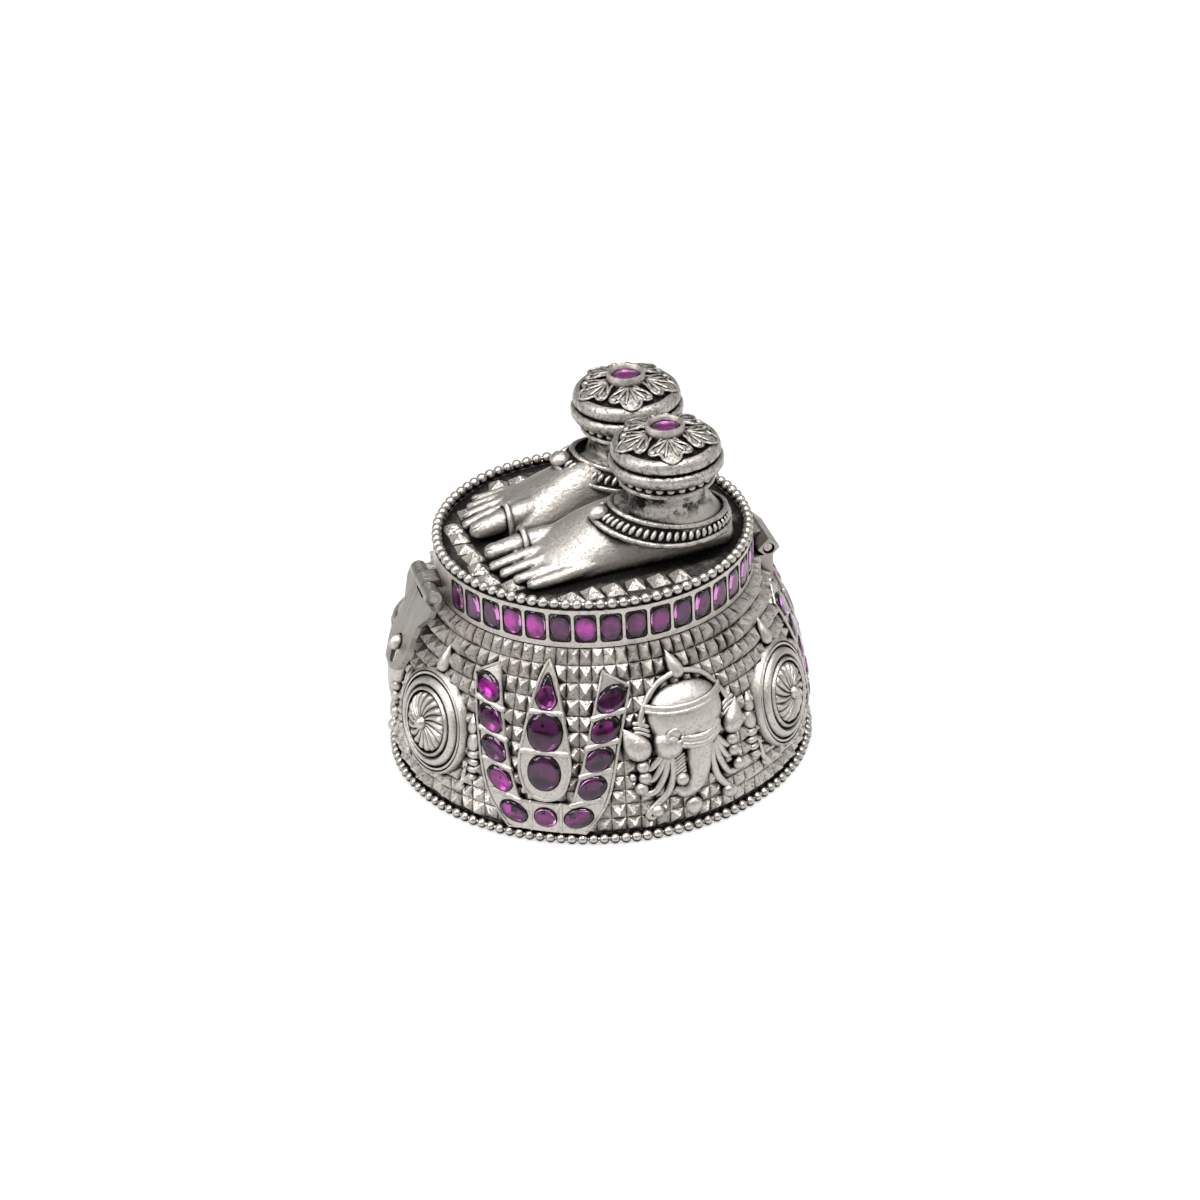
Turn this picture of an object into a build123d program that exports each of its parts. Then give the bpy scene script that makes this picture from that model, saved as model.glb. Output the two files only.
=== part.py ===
# Round silver kumkum box: a domed drum with soldered ornaments, a hinged lid
# that carries a pair of feet, and a hasp that drops over a stud.
# Millimetres. Origin at the centre of the base, +Z up, hasp at -Y, hinge at +Y.
import os
from math import asin, atan2, ceil, cos, degrees, floor, hypot, pi, radians, sin, sqrt

from build123d import *

# Shared fits
solder_gap = 0.02
running_gap = 0.05
side_gap = 0.12
setting_gap = 0.06
pearl_gap = 0.05

# Drum
foot_radius = 28.6
foot_straight = 3.0
rim_radius = 22.0
rim_height = 26.8
drum_wall = 1.2
rim_land = 1.2
bottom_thickness = 1.2
base_bead = 1.45
base_bead_lift = 0.03

# Pyramids in rows on the drum's wall, left out where something is soldered on
stud_columns = 88
stud_rows = 12
stud_first = 1.5
stud_rise = 0.75
stud_gap = 0.25
skin_step = 0.6
skin_turn = 0.8

# Neck collar inside the rim
collar_wall = 0.7
collar_depth = 3.0
collar_rise = 2.2
collar_clearance = 0.3

# Lid
seam_gap = 0.15
band_overhang = 0.2
band_height = 5.7
plate_thickness = 0.9
lid_bead = 1.3
lid_bead_inset = 0.55

# Pyramids in rows on the lid, left out under the feet
lid_stud_pitch = 2.9
lid_stud_base = 2.4
lid_stud_rise = 1.1
lid_stud_sink = 0.2

# Stone cells round the lid band
cell_count = 40
bare_cells = 3
cell_divider = 0.387
cell_height = 4.4
cell_depth = 0.5
cell_corner = 0.6
cell_lift = 2.95
band_stone_proud = 0.12

# Hinge at the back
hinge_offset = 2.0
hinge_rise = 0.65
hinge_length = 8.6
hinge_middle = 3.0
hinge_pin = 1.2
hinge_corner = 1.6
hinge_leaf_depth = 4.6
hinge_leaf_lap = 0.6
hinge_strap = 1.3
pin_recess = 0.35
recess_depth = 0.7
recess_radius = 0.85

# Hasp at the front
hasp_offset = 1.8
hasp_rise = 1.8
hasp_pin = 1.3
barrel = 2.3
barrel_length = 9.4
barrel_middle = 3.2
leaf_tilt = 25.2
leaf_thickness = 0.75
leaf_top = 0.95
shoulder_half = 6.5
shoulder_end = 2.0
waist_half = 3.8
waist_at = 5.1
tongue_radius = 4.4
tongue_at = 9.0
stud_at = 9.65
stud_dome = 1.15
stud_shank = 0.8
stud_sink = -0.4
stud_clearance = 0.2

# Ornaments on the drum
sets_of_ornaments = 3
wheel_angle = 20.0
ornament_pitch = 40.0
drawn_sector = 19.277
plate_rise = 1.0
flame_rise = 1.3
stone_seat = 0.5
stone_proud = 0.45
strand_rise = 0.8
drop_point = 0.04
relief_reach = 7.0

# Wheel: radius and height of each step
wheel_height = 12.5
wheel_radius = 7.4
wheel_steps = [(7.4, 0.75), (6.55, 1.2), (5.5, 1.55), (4.6, 1.4)]
wheel_crown = 2.5
wheel_boss = 0.95
wheel_back = 2.5

# Conch: a swelling set back into the wall, and a stem
conch_shift = 0.5
conch_swell = 7.0
conch_proud = 2.1
conch_lip_proud = 1.0
conch_top = 20.7
conch_belly = 17.0
conch_lip = 11.3
stem_set_back = 0.4
stem_foot = 5.8
stem_middle = 9.5
stem_head = 14.2
stem_radius = 2.2
stem_flank = [(1.9, 9.6), (1.6, 7.0)]
garland_radius = 6.4
garland_height = 16.6
garland_width = 0.7

# Feet on the lid
feet_turn = 3.0
ankle_x = 8.3
ankle_y = 8.4
stump_radius = 6.0
stump_waist = 5.5
stump_waist_height = 7.0
stump_height = 10.35
# Each section: distance along the foot, centre, half width at the sole,
# half width and height at the widest, height of the crest
foot_sections = [
    (17.2, 8.3, 1.6, 2.2, 1.8, 3.4),
    (14.5, 8.2, 3.4, 4.6, 2.6, 6.2),
    (8.4, 8.2, 3.9, 5.9, 3.4, 8.2),
    (2.0, 7.9, 4.7, 5.7, 2.8, 8.2),
    (-3.0, 7.6, 5.9, 6.1, 1.8, 6.2),
    (-8.0, 7.5, 6.6, 6.7, 1.2, 4.5),
    (-11.5, 7.6, 6.7, 6.8, 0.9, 3.5),
]
# Each toe: root, tip and radius
toes = [
    ((3.3, -9.0), (2.9, -16.9), 2.1),
    ((6.9, -9.5), (6.9, -16.6), 1.25),
    ((9.3, -9.3), (9.5, -15.5), 1.2),
    ((11.5, -8.8), (11.9, -14.1), 1.1),
    ((13.3, -7.8), (13.8, -12.8), 1.0),
]
toe_sink = 0.4
toe_ring_at = -11.2
toe_ring_wire = 0.8
anklet_centre_y = 7.4
anklet_half = (6.4, 9.4)
anklet_band = 2.0
anklet_height = 2.4
anklet_lift = 4.9
anklet_tilt = 9.0

# Turned caps on the ankles: radius and height above the stump
cap_ring = (6.5, 0.7)
cap_neck = (6.2, 2.0)
cap_lower = (7.85, 3.0, 4.0)
cap_groove = (7.2, 4.2)
cap_upper = (7.4, 4.95, 5.7)
cap_shoulder = (6.9, 5.9)
cap_dome_top = 7.5
bezel_radius = 2.45
bezel_wall = 0.7
bezel_height = 0.9
cap_stone_height = 0.8
petal_count = 5
petal_rise = 0.45
petal_reach = 6.3
petal_half = 1.75

# Worked-out places
arc_drop = foot_radius - rim_radius
arc_rise = rim_height - foot_straight
arc_radius = (arc_drop**2 + arc_rise**2) / (2 * arc_drop)
arc_centre = foot_radius - arc_radius
arc_angle = asin(arc_rise / arc_radius)
collar_radius = rim_radius - drum_wall - solder_gap
band_inner = collar_radius + collar_clearance
lid_low = rim_height + seam_gap
lid_top = lid_low + band_height
band_radius = rim_radius + band_overhang
hinge_y = band_radius + hinge_offset
hinge_z = lid_low + hinge_rise
hasp_y = -(band_radius + hasp_offset)
hasp_z = lid_low + hasp_rise
cap_low = lid_top + stump_height
cell_pitch = 360 / cell_count
stud_row = (rim_height - stud_first) / stud_rows
cell_width = radians(cell_pitch) * band_radius - cell_divider
set_pitch = 360 / sets_of_ornaments
leaf_plane = Plane(
    origin=(0, hasp_y, hasp_z),
    x_dir=(1, 0, 0),
    z_dir=(0, -cos(radians(leaf_tilt)), sin(radians(leaf_tilt))),
)
standing = (Align.CENTER, Align.CENTER, Align.MIN)


def wall_radius(z):
    if z <= foot_straight:
        return foot_radius
    return arc_centre + sqrt(arc_radius**2 - (z - foot_straight) ** 2)


def wall_slope(z):
    return asin(max(z - foot_straight, 0) / arc_radius)


# The ornaments fill the wall side by side, so their widths follow its girth
spread = radians(ornament_pitch) * wall_radius(wheel_height) / drawn_sector
wheel_rim = wheel_height + spread * wheel_radius * cos(wall_slope(wheel_height))
conch_set_back = spread * conch_swell - conch_proud
conch_lip_radius = conch_set_back + conch_lip_proud


def at(x, z):
    return (spread * x, z)


def arc_point(offset, share):
    reach = arc_radius + offset
    angle = arc_angle * share
    return (arc_centre + reach * cos(angle), foot_straight + reach * sin(angle))


def wall_lines(offset):
    start = (foot_radius + offset, 0)
    knee = (foot_radius + offset, foot_straight)
    bend = ThreePointArc(knee, arc_point(offset, 0.5), arc_point(offset, 1))
    return Line(start, knee) + bend


def turned(edges):
    return revolve(make_face(Plane.XZ * edges), Axis.Z)


# Ring-shaped zone that follows the drum's wall, between two heights off it
def wall_zone(low, high):
    foot_line = Line((foot_radius + low, 0), (foot_radius + high, 0))
    top_line = Line(arc_point(low, 1), arc_point(high, 1))
    return turned(wall_lines(low) + wall_lines(high) + foot_line + top_line)


def drum_blank():
    foot_line = Line((0, 0), (foot_radius, 0))
    top_line = Line((0, rim_height), arc_point(0, 1))
    axis_line = Line((0, 0), (0, rim_height))
    return turned(wall_lines(0) + foot_line + top_line + axis_line)


def tube(inner, outer, low, high):
    height = high - low
    ring = Cylinder(outer, height, align=standing) - Cylinder(inner, height, align=standing)
    return Pos(0, 0, low) * ring


# Straight prism of an outline drawn on the front of the drum, as seen from the front
def prism(outline):
    return extrude(Plane.XZ * outline, amount=foot_radius + relief_reach)


def both_sides(outline):
    return outline + mirror(outline, Plane.YZ)


def on_wall(x, z, lift=0.0):
    radius = wall_radius(z) + lift
    return (x, -sqrt(radius**2 - x**2), z)


# Plane that lies on the wall at a point, its Y up the wall and its Z outwards
def wall_plane(x, z, lift=0.0):
    point = on_wall(x, z, lift)
    slope = wall_slope(z)
    flat = hypot(point[0], point[1])
    out_x = point[0] / flat
    out_y = point[1] / flat
    normal = (out_x * cos(slope), out_y * cos(slope), sin(slope))
    return Plane(origin=point, x_dir=(-out_y, out_x, 0), z_dir=normal)


# Half ball that stands on the wall
def pearl(x, z, radius):
    return wall_plane(spread * x, z, pearl_gap) * Sphere(radius, arc_size1=0, arc_size2=90, align=standing)


# Half teardrop on the wall: round end at the place, tip turned by the lean
def drop(x, z, radius, length, lean=0.0):
    flank = length - 1.6 * radius
    tip = Cone(0.8 * radius, drop_point, flank, align=standing)
    shape = Sphere(radius) + Pos(0, 0.6 * radius, 0) * Rot(-90, 0, 0) * tip
    half = shape & Box(4 * length, 4 * length, 4 * radius, align=standing)
    return wall_plane(spread * x, z, pearl_gap) * Rot(0, 0, lean) * half


def all_solids(*shapes):
    return Compound([solid for shape in shapes for solid in shape.solids()])


def write(name, shape):
    export_step(shape, f"parts/{name}.step")


# Points close together over a piece's skin
def skin_points(shape):
    for solid in shape.solids():
        corners, triangles = solid.tessellate(skin_step / 2, skin_turn)
        for triangle in triangles:
            start, second, third = [corners[index] for index in triangle]
            one = second - start
            other = third - start
            count = max(1, ceil(max(one.length, other.length, (one - other).length) / skin_step))
            for i in range(count + 1):
                for j in range(count + 1 - i):
                    yield start + one * (i / count) + other * (j / count)


def stud_cell(x, y, z):
    turn = atan2(x, -y) * stud_columns / (2 * pi)
    return (floor((z - stud_first) / stud_row), floor(turn) % stud_columns)


# Cells of the wall that lie under a soldered piece
def covered_cells(pieces):
    covered = set()
    for piece in pieces:
        for point in skin_points(piece):
            flat = hypot(point.X, point.Y)
            height = min(max(point.Z, 0), rim_height)
            if flat > wall_radius(height) + (stud_rise + stud_gap) / cos(arc_angle):
                continue
            for side in (-stud_gap, stud_gap):
                for up in (-stud_gap, stud_gap):
                    x = point.X - side * point.Y / flat
                    y = point.Y + side * point.X / flat
                    covered.add(stud_cell(x, y, point.Z + up))
    return covered


def polygon(*points):
    return Face(Wire.make_polygon(points, close=True))


# Outside of the drum: one pyramid in each free cell, a flat facet in the others
def drum_outside(rings, covered):
    faces = []
    for row in range(-1, stud_rows):
        low = rings[row + 1]
        high = rings[row + 2]
        for column in range(stud_columns):
            following = (column + 1) % stud_columns
            cell = [low[column], low[following], high[following], high[column]]
            if row < 0 or (row, column) in covered:
                faces.append(polygon(*cell))
                continue
            tip = wall_corner(column + 0.5, stud_first + (row + 0.5) * stud_row, stud_rise)
            for corner in range(4):
                faces.append(polygon(cell[corner], cell[(corner + 1) % 4], tip))
    return faces


# Flat edge of the drum between its ring of corners and a round hole
def drum_edge(ring, radius):
    hole = Pos(0, 0, ring[0].Z) * Wire.make_circle(radius)
    return Face(Wire.make_polygon(ring, close=True), [hole])


def wall_corner(column, z, lift=0.0):
    turn = 2 * pi * column / stud_columns
    slope = wall_slope(z)
    flat = wall_radius(z) + lift * cos(slope)
    return Vector(flat * sin(turn), -flat * cos(turn), z + lift * sin(slope))


# Drum, bottom, base beads and neck collar
def make_drum(soldered):
    inner_foot = foot_radius - drum_wall
    inner_rim = rim_radius - drum_wall
    land_low = rim_height - rim_land
    middle = arc_point(-drum_wall, 0.5)
    inner = Line((inner_foot, 0), (inner_foot, foot_straight))
    inner += ThreePointArc((inner_foot, foot_straight), middle, (inner_rim, land_low))
    inner += Line((inner_rim, land_low), (inner_rim, rim_height))
    inner += Line((0, 0), (inner_foot, 0)) + Line((0, 0), (0, rim_height))
    inner += Line((0, rim_height), (inner_rim, rim_height))
    inside = [face for face in turned(inner).faces() if face.geom_type != GeomType.PLANE]
    levels = [0] + [stud_first + row * stud_row for row in range(stud_rows + 1)]
    rings = [[wall_corner(column, level) for column in range(stud_columns)] for level in levels]
    edges = [drum_edge(rings[0], inner_foot), drum_edge(rings[-1], inner_rim)]
    return Solid(Shell(drum_outside(rings, covered_cells(soldered)) + edges + inside))


def make_bottom():
    return Cylinder(foot_radius - drum_wall - solder_gap, bottom_thickness, align=standing)


def make_base_beads():
    centre = foot_radius + base_bead / 2 + solder_gap
    return Pos(0, 0, base_bead / 2 + base_bead_lift) * Torus(centre, base_bead / 2)


def make_collar():
    inner = collar_radius - collar_wall
    return tube(inner, collar_radius, rim_height - collar_depth, rim_height + collar_rise)


# Tilak ornament: a forked frame, a flame between its arms, and the stones of both
frame_corner = (5.3, 1.85)
frame_shoulder = (10.4, 22.4)
frame_tip = (6.95, 24.3)
frame_crotch = (3.6, 6.15)
frame_outside = [(8.2, 6.9), (9.5, 14.5)]
frame_inside = (5.35, 13.2)
flame_tip = 25.9
flame_foot = 6.95
flame_flank = [(1.5, 22.0), (3.35, 13.2), (2.95, 9.3), (1.7, 7.45)]
# Each stone: place, half sizes and tilt
arm_stones = [
    (8.35, 20.6, 1.75, 1.3, 35),
    (7.75, 16.75, 1.75, 1.3, 35),
    (7.15, 12.85, 1.75, 1.3, 35),
    (6.3, 8.85, 1.75, 1.3, 35),
    (4.4, 4.4, 1.8, 1.2, 25),
]
centre_stone = (0.0, 4.1, 1.4, 1.35, 0)
flame_stones = [
    (0.0, 21.0, 1.3, 1.8, 0),
    (0.0, 16.3, 2.15, 2.55, 0),
    (0.0, 10.8, 1.95, 2.4, 0),
]


def frame_outline():
    outside = [frame_corner] + frame_outside + [frame_shoulder]
    outer = Spline(*[at(*point) for point in outside])
    inner = Spline(at(*frame_tip), at(*frame_inside), at(*frame_crotch))
    base = Line((0, frame_corner[1]), at(*frame_corner))
    top = Line(at(*frame_shoulder), at(*frame_tip))
    crotch = Line(at(*frame_crotch), (0, frame_crotch[1]))
    middle = Line((0, frame_crotch[1]), (0, frame_corner[1]))
    return both_sides(make_face(base + outer + top + inner + crotch + middle))


def flame_outline():
    flank = Spline((0, flame_tip), *[at(*point) for point in flame_flank], (0, flame_foot))
    return both_sides(make_face(flank + Line((0, flame_foot), (0, flame_tip))))


def stone_outline(stone, grow):
    x, z, half_x, half_z, tilt = stone
    return Pos(*at(x, z)) * Rot(0, 0, tilt) * Ellipse(spread * half_x + grow, half_z + grow)


def stone_outlines(stones, mirrored, grow):
    outline = Sketch()
    for stone in stones:
        shape = stone_outline(stone, grow)
        outline += both_sides(shape) if mirrored else shape
    return outline


def bezel_plate(outline, pockets, rise):
    plate = prism(outline) & wall_zone(solder_gap, rise)
    return plate - (prism(pockets) & wall_zone(rise - stone_seat, rise + stone_seat))


def set_stones(outlines, rise):
    return prism(outlines) & wall_zone(rise - stone_seat + solder_gap, rise + stone_proud)


def frame_stone_outlines(grow):
    return stone_outlines(arm_stones, True, grow) + stone_outline(centre_stone, grow)


def make_tilak():
    frame = bezel_plate(frame_outline(), frame_stone_outlines(0), plate_rise)
    flame = bezel_plate(flame_outline(), stone_outlines(flame_stones, False, 0), flame_rise)
    frame_set = set_stones(frame_stone_outlines(-setting_gap), plate_rise)
    flame_set = set_stones(stone_outlines(flame_stones, False, -setting_gap), flame_rise)
    return {
        "tilak_frame": frame,
        "tilak_flame": flame,
        "tilak_frame_stones": frame_set,
        "tilak_flame_stones": flame_set,
    }


# Wheel ornament: a stepped disc with a domed middle, and a tassel on each side
wheel_drop = (0.3, 0.95, 3.9)
# Each pearl of a tassel: place and radius
tassel_pearls = [
    (7.9, 14.5, 0.75),
    (8.2, 13.2, 0.95),
    (8.5, 12.0, 0.95),
    (8.6, 10.8, 0.9),
    (8.7, 9.75, 0.85),
    (8.6, 8.65, 0.8),
    (8.5, 7.55, 0.75),
]


def wheel_profile():
    points = [(0, -wheel_back), at(wheel_radius, -wheel_back)]
    for step, (radius, height) in enumerate(wheel_steps):
        points.append(at(radius, height))
        if step + 1 < len(wheel_steps):
            points.append(at(wheel_steps[step + 1][0], height))
    edge = points[-1]
    crown = (wheel_boss, wheel_crown)
    bulge = (0.6 * edge[0], 0.35 * edge[1] + 0.65 * wheel_crown)
    outline = Polyline(*points) + ThreePointArc(edge, bulge, crown)
    outline += Line(crown, (0, wheel_crown)) + Line((0, wheel_crown), points[0])
    return make_face(outline)


def make_wheel():
    place = wall_plane(0, wheel_height)
    disc = place * revolve(Plane.XZ * wheel_profile(), Axis.Z)
    disc += place * (Pos(0, 0, wheel_crown) * Sphere(wheel_boss))
    drop_rise, drop_radius, drop_length = wheel_drop
    side = pearl(*tassel_pearls[0])
    for place_and_size in tassel_pearls[1:]:
        side += pearl(*place_and_size)
    zone = wall_zone(solder_gap, relief_reach)
    wheel = (disc & zone) + drop(0, wheel_rim + drop_rise, drop_radius, drop_length)
    tassel = side - wheel
    return {
        "wheel": wheel,
        "wheel_tassels": all_solids(tassel, mirror(tassel, Plane.YZ)),
    }


# Conch ornament: the shell with its stem, and a garland with drops and curls
conch_drops = [(0.3, 22.4, 1.0, 3.6, 10), (0.3, 4.3, 1.25, 3.4, 180)]
side_drop = (7.25, 14.0, 1.2, 3.7, -28)
curl_pearls = [(6.5, 11.4, 0.7), (6.6, 9.9, 0.75), (7.2, 8.0, 0.9), (5.4, 4.5, 1.0)]


def conch_body():
    back = wall_radius(conch_belly) - conch_set_back
    head = (conch_set_back, conch_top)
    lip = (conch_lip_radius, conch_lip)
    swell = ThreePointArc(head, (spread * conch_swell, conch_belly), lip)
    sides = Line((0, conch_top), head) + Line(lip, (0, conch_lip))
    body = turned(swell + sides + Line((0, conch_lip), (0, conch_top)))
    leaning = Rot(-degrees(wall_slope(conch_belly)), 0, 0)
    middle = Pos(0, 0, -conch_belly) * body
    return Pos(spread * conch_shift, -back, conch_belly) * leaning * middle


def conch_stem():
    head = (stem_radius, stem_head)
    flank = Spline(head, *stem_flank, (0, stem_foot))
    sides = Line((0, stem_head), head) + Line((0, stem_foot), (0, stem_head))
    leaning = Rot(-degrees(wall_slope(stem_middle)), 0, 0)
    middle = Pos(0, 0, -stem_middle) * turned(flank + sides)
    return Pos(spread * conch_shift, stem_set_back - wall_radius(stem_middle), stem_middle) * leaning * middle


def make_conch():
    zone = wall_zone(solder_gap, relief_reach)
    shell = (conch_body() + conch_stem()) & zone
    reach = spread * garland_radius
    arch = Circle(reach + garland_width / 2) - Circle(reach - garland_width / 2)
    arch &= Pos(0, reach) * Rectangle(4 * reach, 2 * reach)
    strands = prism(Pos(spread * conch_shift, garland_height) * arch) & wall_zone(solder_gap, strand_rise)
    garland = strands
    for place_and_size in conch_drops:
        garland += drop(*place_and_size)
    x, z, radius, length, lean = side_drop
    garland += drop(conch_shift + x, z, radius, length, lean)
    garland += drop(conch_shift - x, z, radius, length, -lean)
    for x, z, radius in curl_pearls:
        garland += pearl(conch_shift + x, z, radius)
        garland += pearl(conch_shift - x, z, radius)
    return {"conch": shell, "conch_garland": garland - shell}


# Lid band with its stones, the plate inside it and the beads on its edge
def cell_angles():
    reach = bare_cells // 2
    half_turn = cell_count // 2
    for cell in range(cell_count):
        from_front = min(cell, cell_count - cell)
        if reach < from_front < half_turn - reach:
            yield cell * cell_pitch


def cell_prism(grow):
    outline = RectangleRounded(cell_width + 2 * grow, cell_height + 2 * grow, cell_corner + grow)
    return prism(Pos(0, lid_low + cell_lift) * outline)


def round_cells(shape):
    return all_solids(*[Rot(0, 0, angle) * shape for angle in cell_angles()])


def make_band():
    bottom = band_radius - cell_depth
    pocket = cell_prism(0) & tube(bottom, band_radius + cell_depth, lid_low, lid_top)
    return tube(band_inner, band_radius, lid_low, lid_top) - round_cells(pocket).solids()


def make_band_stones():
    bottom = band_radius - cell_depth + solder_gap
    zone = tube(bottom, band_radius + band_stone_proud, lid_low, lid_top)
    return round_cells(cell_prism(-setting_gap) & zone)


def lid_stud(x, y):
    half = lid_stud_base / 2 * (lid_stud_rise + lid_stud_sink) / lid_stud_rise
    low = lid_top - lid_stud_sink
    base = [Vector(x + half * i, y + half * j, low) for i, j in ((-1, -1), (1, -1), (1, 1), (-1, 1))]
    tip = Vector(x, y, lid_top + lid_stud_rise)
    sides = [polygon(base[corner], base[(corner + 1) % 4], tip) for corner in range(4)]
    return Solid(Shell([polygon(*base)] + sides))


# Places of the lid's pyramids that stay clear of the feet and the bead wire
def lid_stud_places(standing_pieces):
    reach = band_radius - lid_bead_inset - lid_bead / 2 - side_gap
    half = lid_stud_base / 2
    count = floor(reach / lid_stud_pitch)
    steps = range(-count, count + 1)
    places = {(i, j) for i in steps for j in steps}
    for piece in standing_pieces:
        for point in skin_points(piece):
            if point.Z < lid_top + lid_stud_rise + side_gap:
                for side in (-half - side_gap, half + side_gap):
                    for up in (-half - side_gap, half + side_gap):
                        column = round((point.X + side) / lid_stud_pitch)
                        row = round((point.Y + up) / lid_stud_pitch)
                        places.discard((column, row))
    for i, j in sorted(places):
        x = i * lid_stud_pitch
        y = j * lid_stud_pitch
        if hypot(abs(x) + half, abs(y) + half) < reach:
            yield x, y


def make_plate(standing_pieces):
    disc = Cylinder(band_inner - solder_gap, plate_thickness, align=standing)
    studs = [lid_stud(x, y) for x, y in lid_stud_places(standing_pieces)]
    return Pos(0, 0, lid_top - plate_thickness) * disc + studs


def make_lid_beads():
    return Pos(0, 0, lid_top + lid_bead / 2 + solder_gap) * Torus(band_radius - lid_bead_inset, lid_bead / 2)


# Hinge: square knuckles turned on their corners
def hinge_bar(length, bore):
    square = Rectangle(hinge_corner * sqrt(2), hinge_corner * sqrt(2))
    section = Rot(0, 0, 45) * square - Circle(bore)
    return Pos(0, hinge_y, hinge_z) * extrude(Plane.YZ * section, amount=length / 2, both=True)


def hinge_core():
    return Pos(0, hinge_y, hinge_z) * Rot(0, 90, 0) * Cylinder(hinge_pin / 2 + running_gap, 2 * hinge_length)


# Wider mouths of the bore at the two outer ends, in which the pin's ends lie back
def pin_recesses():
    mouth = Rot(0, 90, 0) * Cylinder(recess_radius, 2 * recess_depth)
    ends = Pos(hinge_length / 2, 0, 0) * mouth + Pos(-hinge_length / 2, 0, 0) * mouth
    return Pos(0, hinge_y, hinge_z) * ends


def make_body_knuckles():
    end = (hinge_length - hinge_middle) / 2 - side_gap
    bar = hinge_bar(end, hinge_pin / 2 + solder_gap)
    leaf_high = rim_height - side_gap
    leaf_out = hinge_y + hinge_leaf_lap
    block = Box(end, leaf_out - rim_radius / 2, hinge_leaf_depth, align=(Align.CENTER, Align.MAX, Align.MAX))
    leaf = Pos(0, leaf_out, leaf_high) * block - hinge_core()
    knuckle = bar + leaf
    side = hinge_length / 2 - end / 2
    pair = [Pos(side, 0, 0) * knuckle - pin_recesses(), Pos(-side, 0, 0) * knuckle - pin_recesses()]
    blank = Pos(0, 0, 0) * (drum_blank() + wall_zone(0, solder_gap))
    return all_solids(*[one - blank for one in pair])


def make_hinge_pin():
    return Pos(0, hinge_y, hinge_z) * Rot(0, 90, 0) * Cylinder(hinge_pin / 2, hinge_length - 2 * pin_recess)


def make_lid_knuckle():
    bar = hinge_bar(hinge_middle, hinge_pin / 2 + running_gap)
    under_band = (Align.CENTER, Align.MAX, Align.MIN)
    strap = Box(hinge_middle, hinge_offset + hinge_corner, hinge_strap, align=under_band)
    strap = Pos(0, hinge_y, hinge_z) * strap - hinge_core()
    return bar + strap - Cylinder(band_radius + solder_gap, 2 * lid_top)


# Hasp: barrel knuckles, leaf with its eye, bracket, pin and stud
def barrel_tube(length, bore):
    ring = Circle(barrel / 2) - Circle(bore)
    return extrude(Plane.YZ * ring, amount=length / 2, both=True)


def hasp_place(shape):
    return Pos(0, hasp_y, hasp_z) * shape


def hasp_core():
    return Rot(0, 90, 0) * Cylinder(hasp_pin / 2 + running_gap, 2 * barrel_length)


# The eye: a straight hole and a lead-in along the way the stud leaves when the lid lifts
def eye_tool():
    reach = stud_dome + stud_clearance
    centre = (0, -stud_at, leaf_thickness / 2 - stud_sink)
    world = leaf_plane.from_local_coords(Vector(*centre))
    leaving = Vector(0, world.Z - hinge_z, hinge_y - world.Y).normalized()
    lead = Plane(origin=world, z_dir=(-leaving.X, -leaving.Y, -leaving.Z))
    tool = Pos(*world) * Sphere(reach)
    tool += lead * Cylinder(reach, 2 * tongue_radius, align=standing)
    return tool + leaf_plane * Pos(0, -stud_at, 0) * Cylinder(reach, 4 * leaf_thickness)


def make_leaf():
    shoulder = Polyline(
        (-shoulder_half, -leaf_top),
        (shoulder_half, -leaf_top),
        (shoulder_half, -shoulder_end),
        (waist_half, -waist_at),
        (waist_half, -tongue_at),
        (-waist_half, -tongue_at),
        (-waist_half, -waist_at),
        (-shoulder_half, -shoulder_end),
        close=True,
    )
    outline = make_face(shoulder) + Pos(0, -tongue_at) * Circle(tongue_radius)
    plate = leaf_plane * extrude(outline, amount=leaf_thickness / 2, both=True)
    notch_half = barrel_middle / 2 + side_gap
    notch = Box(2 * notch_half, barrel + 2 * side_gap, barrel + 2 * side_gap)
    end = (barrel_length - barrel_middle) / 2 - side_gap
    side = barrel_length / 2 - end / 2
    knuckle = barrel_tube(end, hasp_pin / 2 + running_gap)
    leaf = plate - hasp_place(hasp_core()) - hasp_place(notch) - eye_tool()
    return leaf + hasp_place(Pos(side, 0, 0) * knuckle) + hasp_place(Pos(-side, 0, 0) * knuckle)


def make_bracket():
    knuckle = barrel_tube(barrel_middle, hasp_pin / 2 + solder_gap)
    strap = Box(barrel_middle, hasp_offset + barrel, barrel / 2, align=(Align.CENTER, Align.MIN, Align.MIN))
    strap -= hasp_core()
    return hasp_place(knuckle + strap) - Cylinder(band_radius + solder_gap, 2 * lid_top)


def make_hasp_pin():
    return hasp_place(Rot(0, 90, 0) * Cylinder(hasp_pin / 2, barrel_length))


def make_stud():
    centre = leaf_plane * Pos(0, -stud_at, leaf_thickness / 2 - stud_sink)
    shank = Cylinder(stud_shank, relief_reach, align=(Align.CENTER, Align.CENTER, Align.MAX))
    return centre * (Sphere(stud_dome) + shank) & wall_zone(solder_gap, 2 * relief_reach)


# Feet, anklets, toe rings and ankle caps; the one at +X is made, the other mirrored
def foot_section(section):
    along, centre, sole_half, wide_half, wide_height, crest = section
    left_sole = (centre - sole_half, lid_top)
    right_sole = (centre + sole_half, lid_top)
    left_wide = (centre - wide_half, lid_top + wide_height)
    right_wide = (centre + wide_half, lid_top + wide_height)
    edges = Line(left_sole, right_sole) + Line(right_sole, right_wide)
    edges += ThreePointArc(right_wide, (centre, lid_top + crest), left_wide)
    edges += Line(left_wide, left_sole)
    return make_face(Plane.XZ.offset(-along) * edges)


def toe_solid(toe):
    root, tip, radius = toe
    height = lid_top + radius - toe_sink
    start = Vector(root[0], root[1], height)
    end = Vector(tip[0], tip[1] + radius, height)
    way = end - start
    bar = Plane(origin=start, z_dir=way) * Cylinder(radius, way.length, align=standing)
    return bar + Pos(*end) * Sphere(radius) + Pos(*start) * Sphere(radius)


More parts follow.
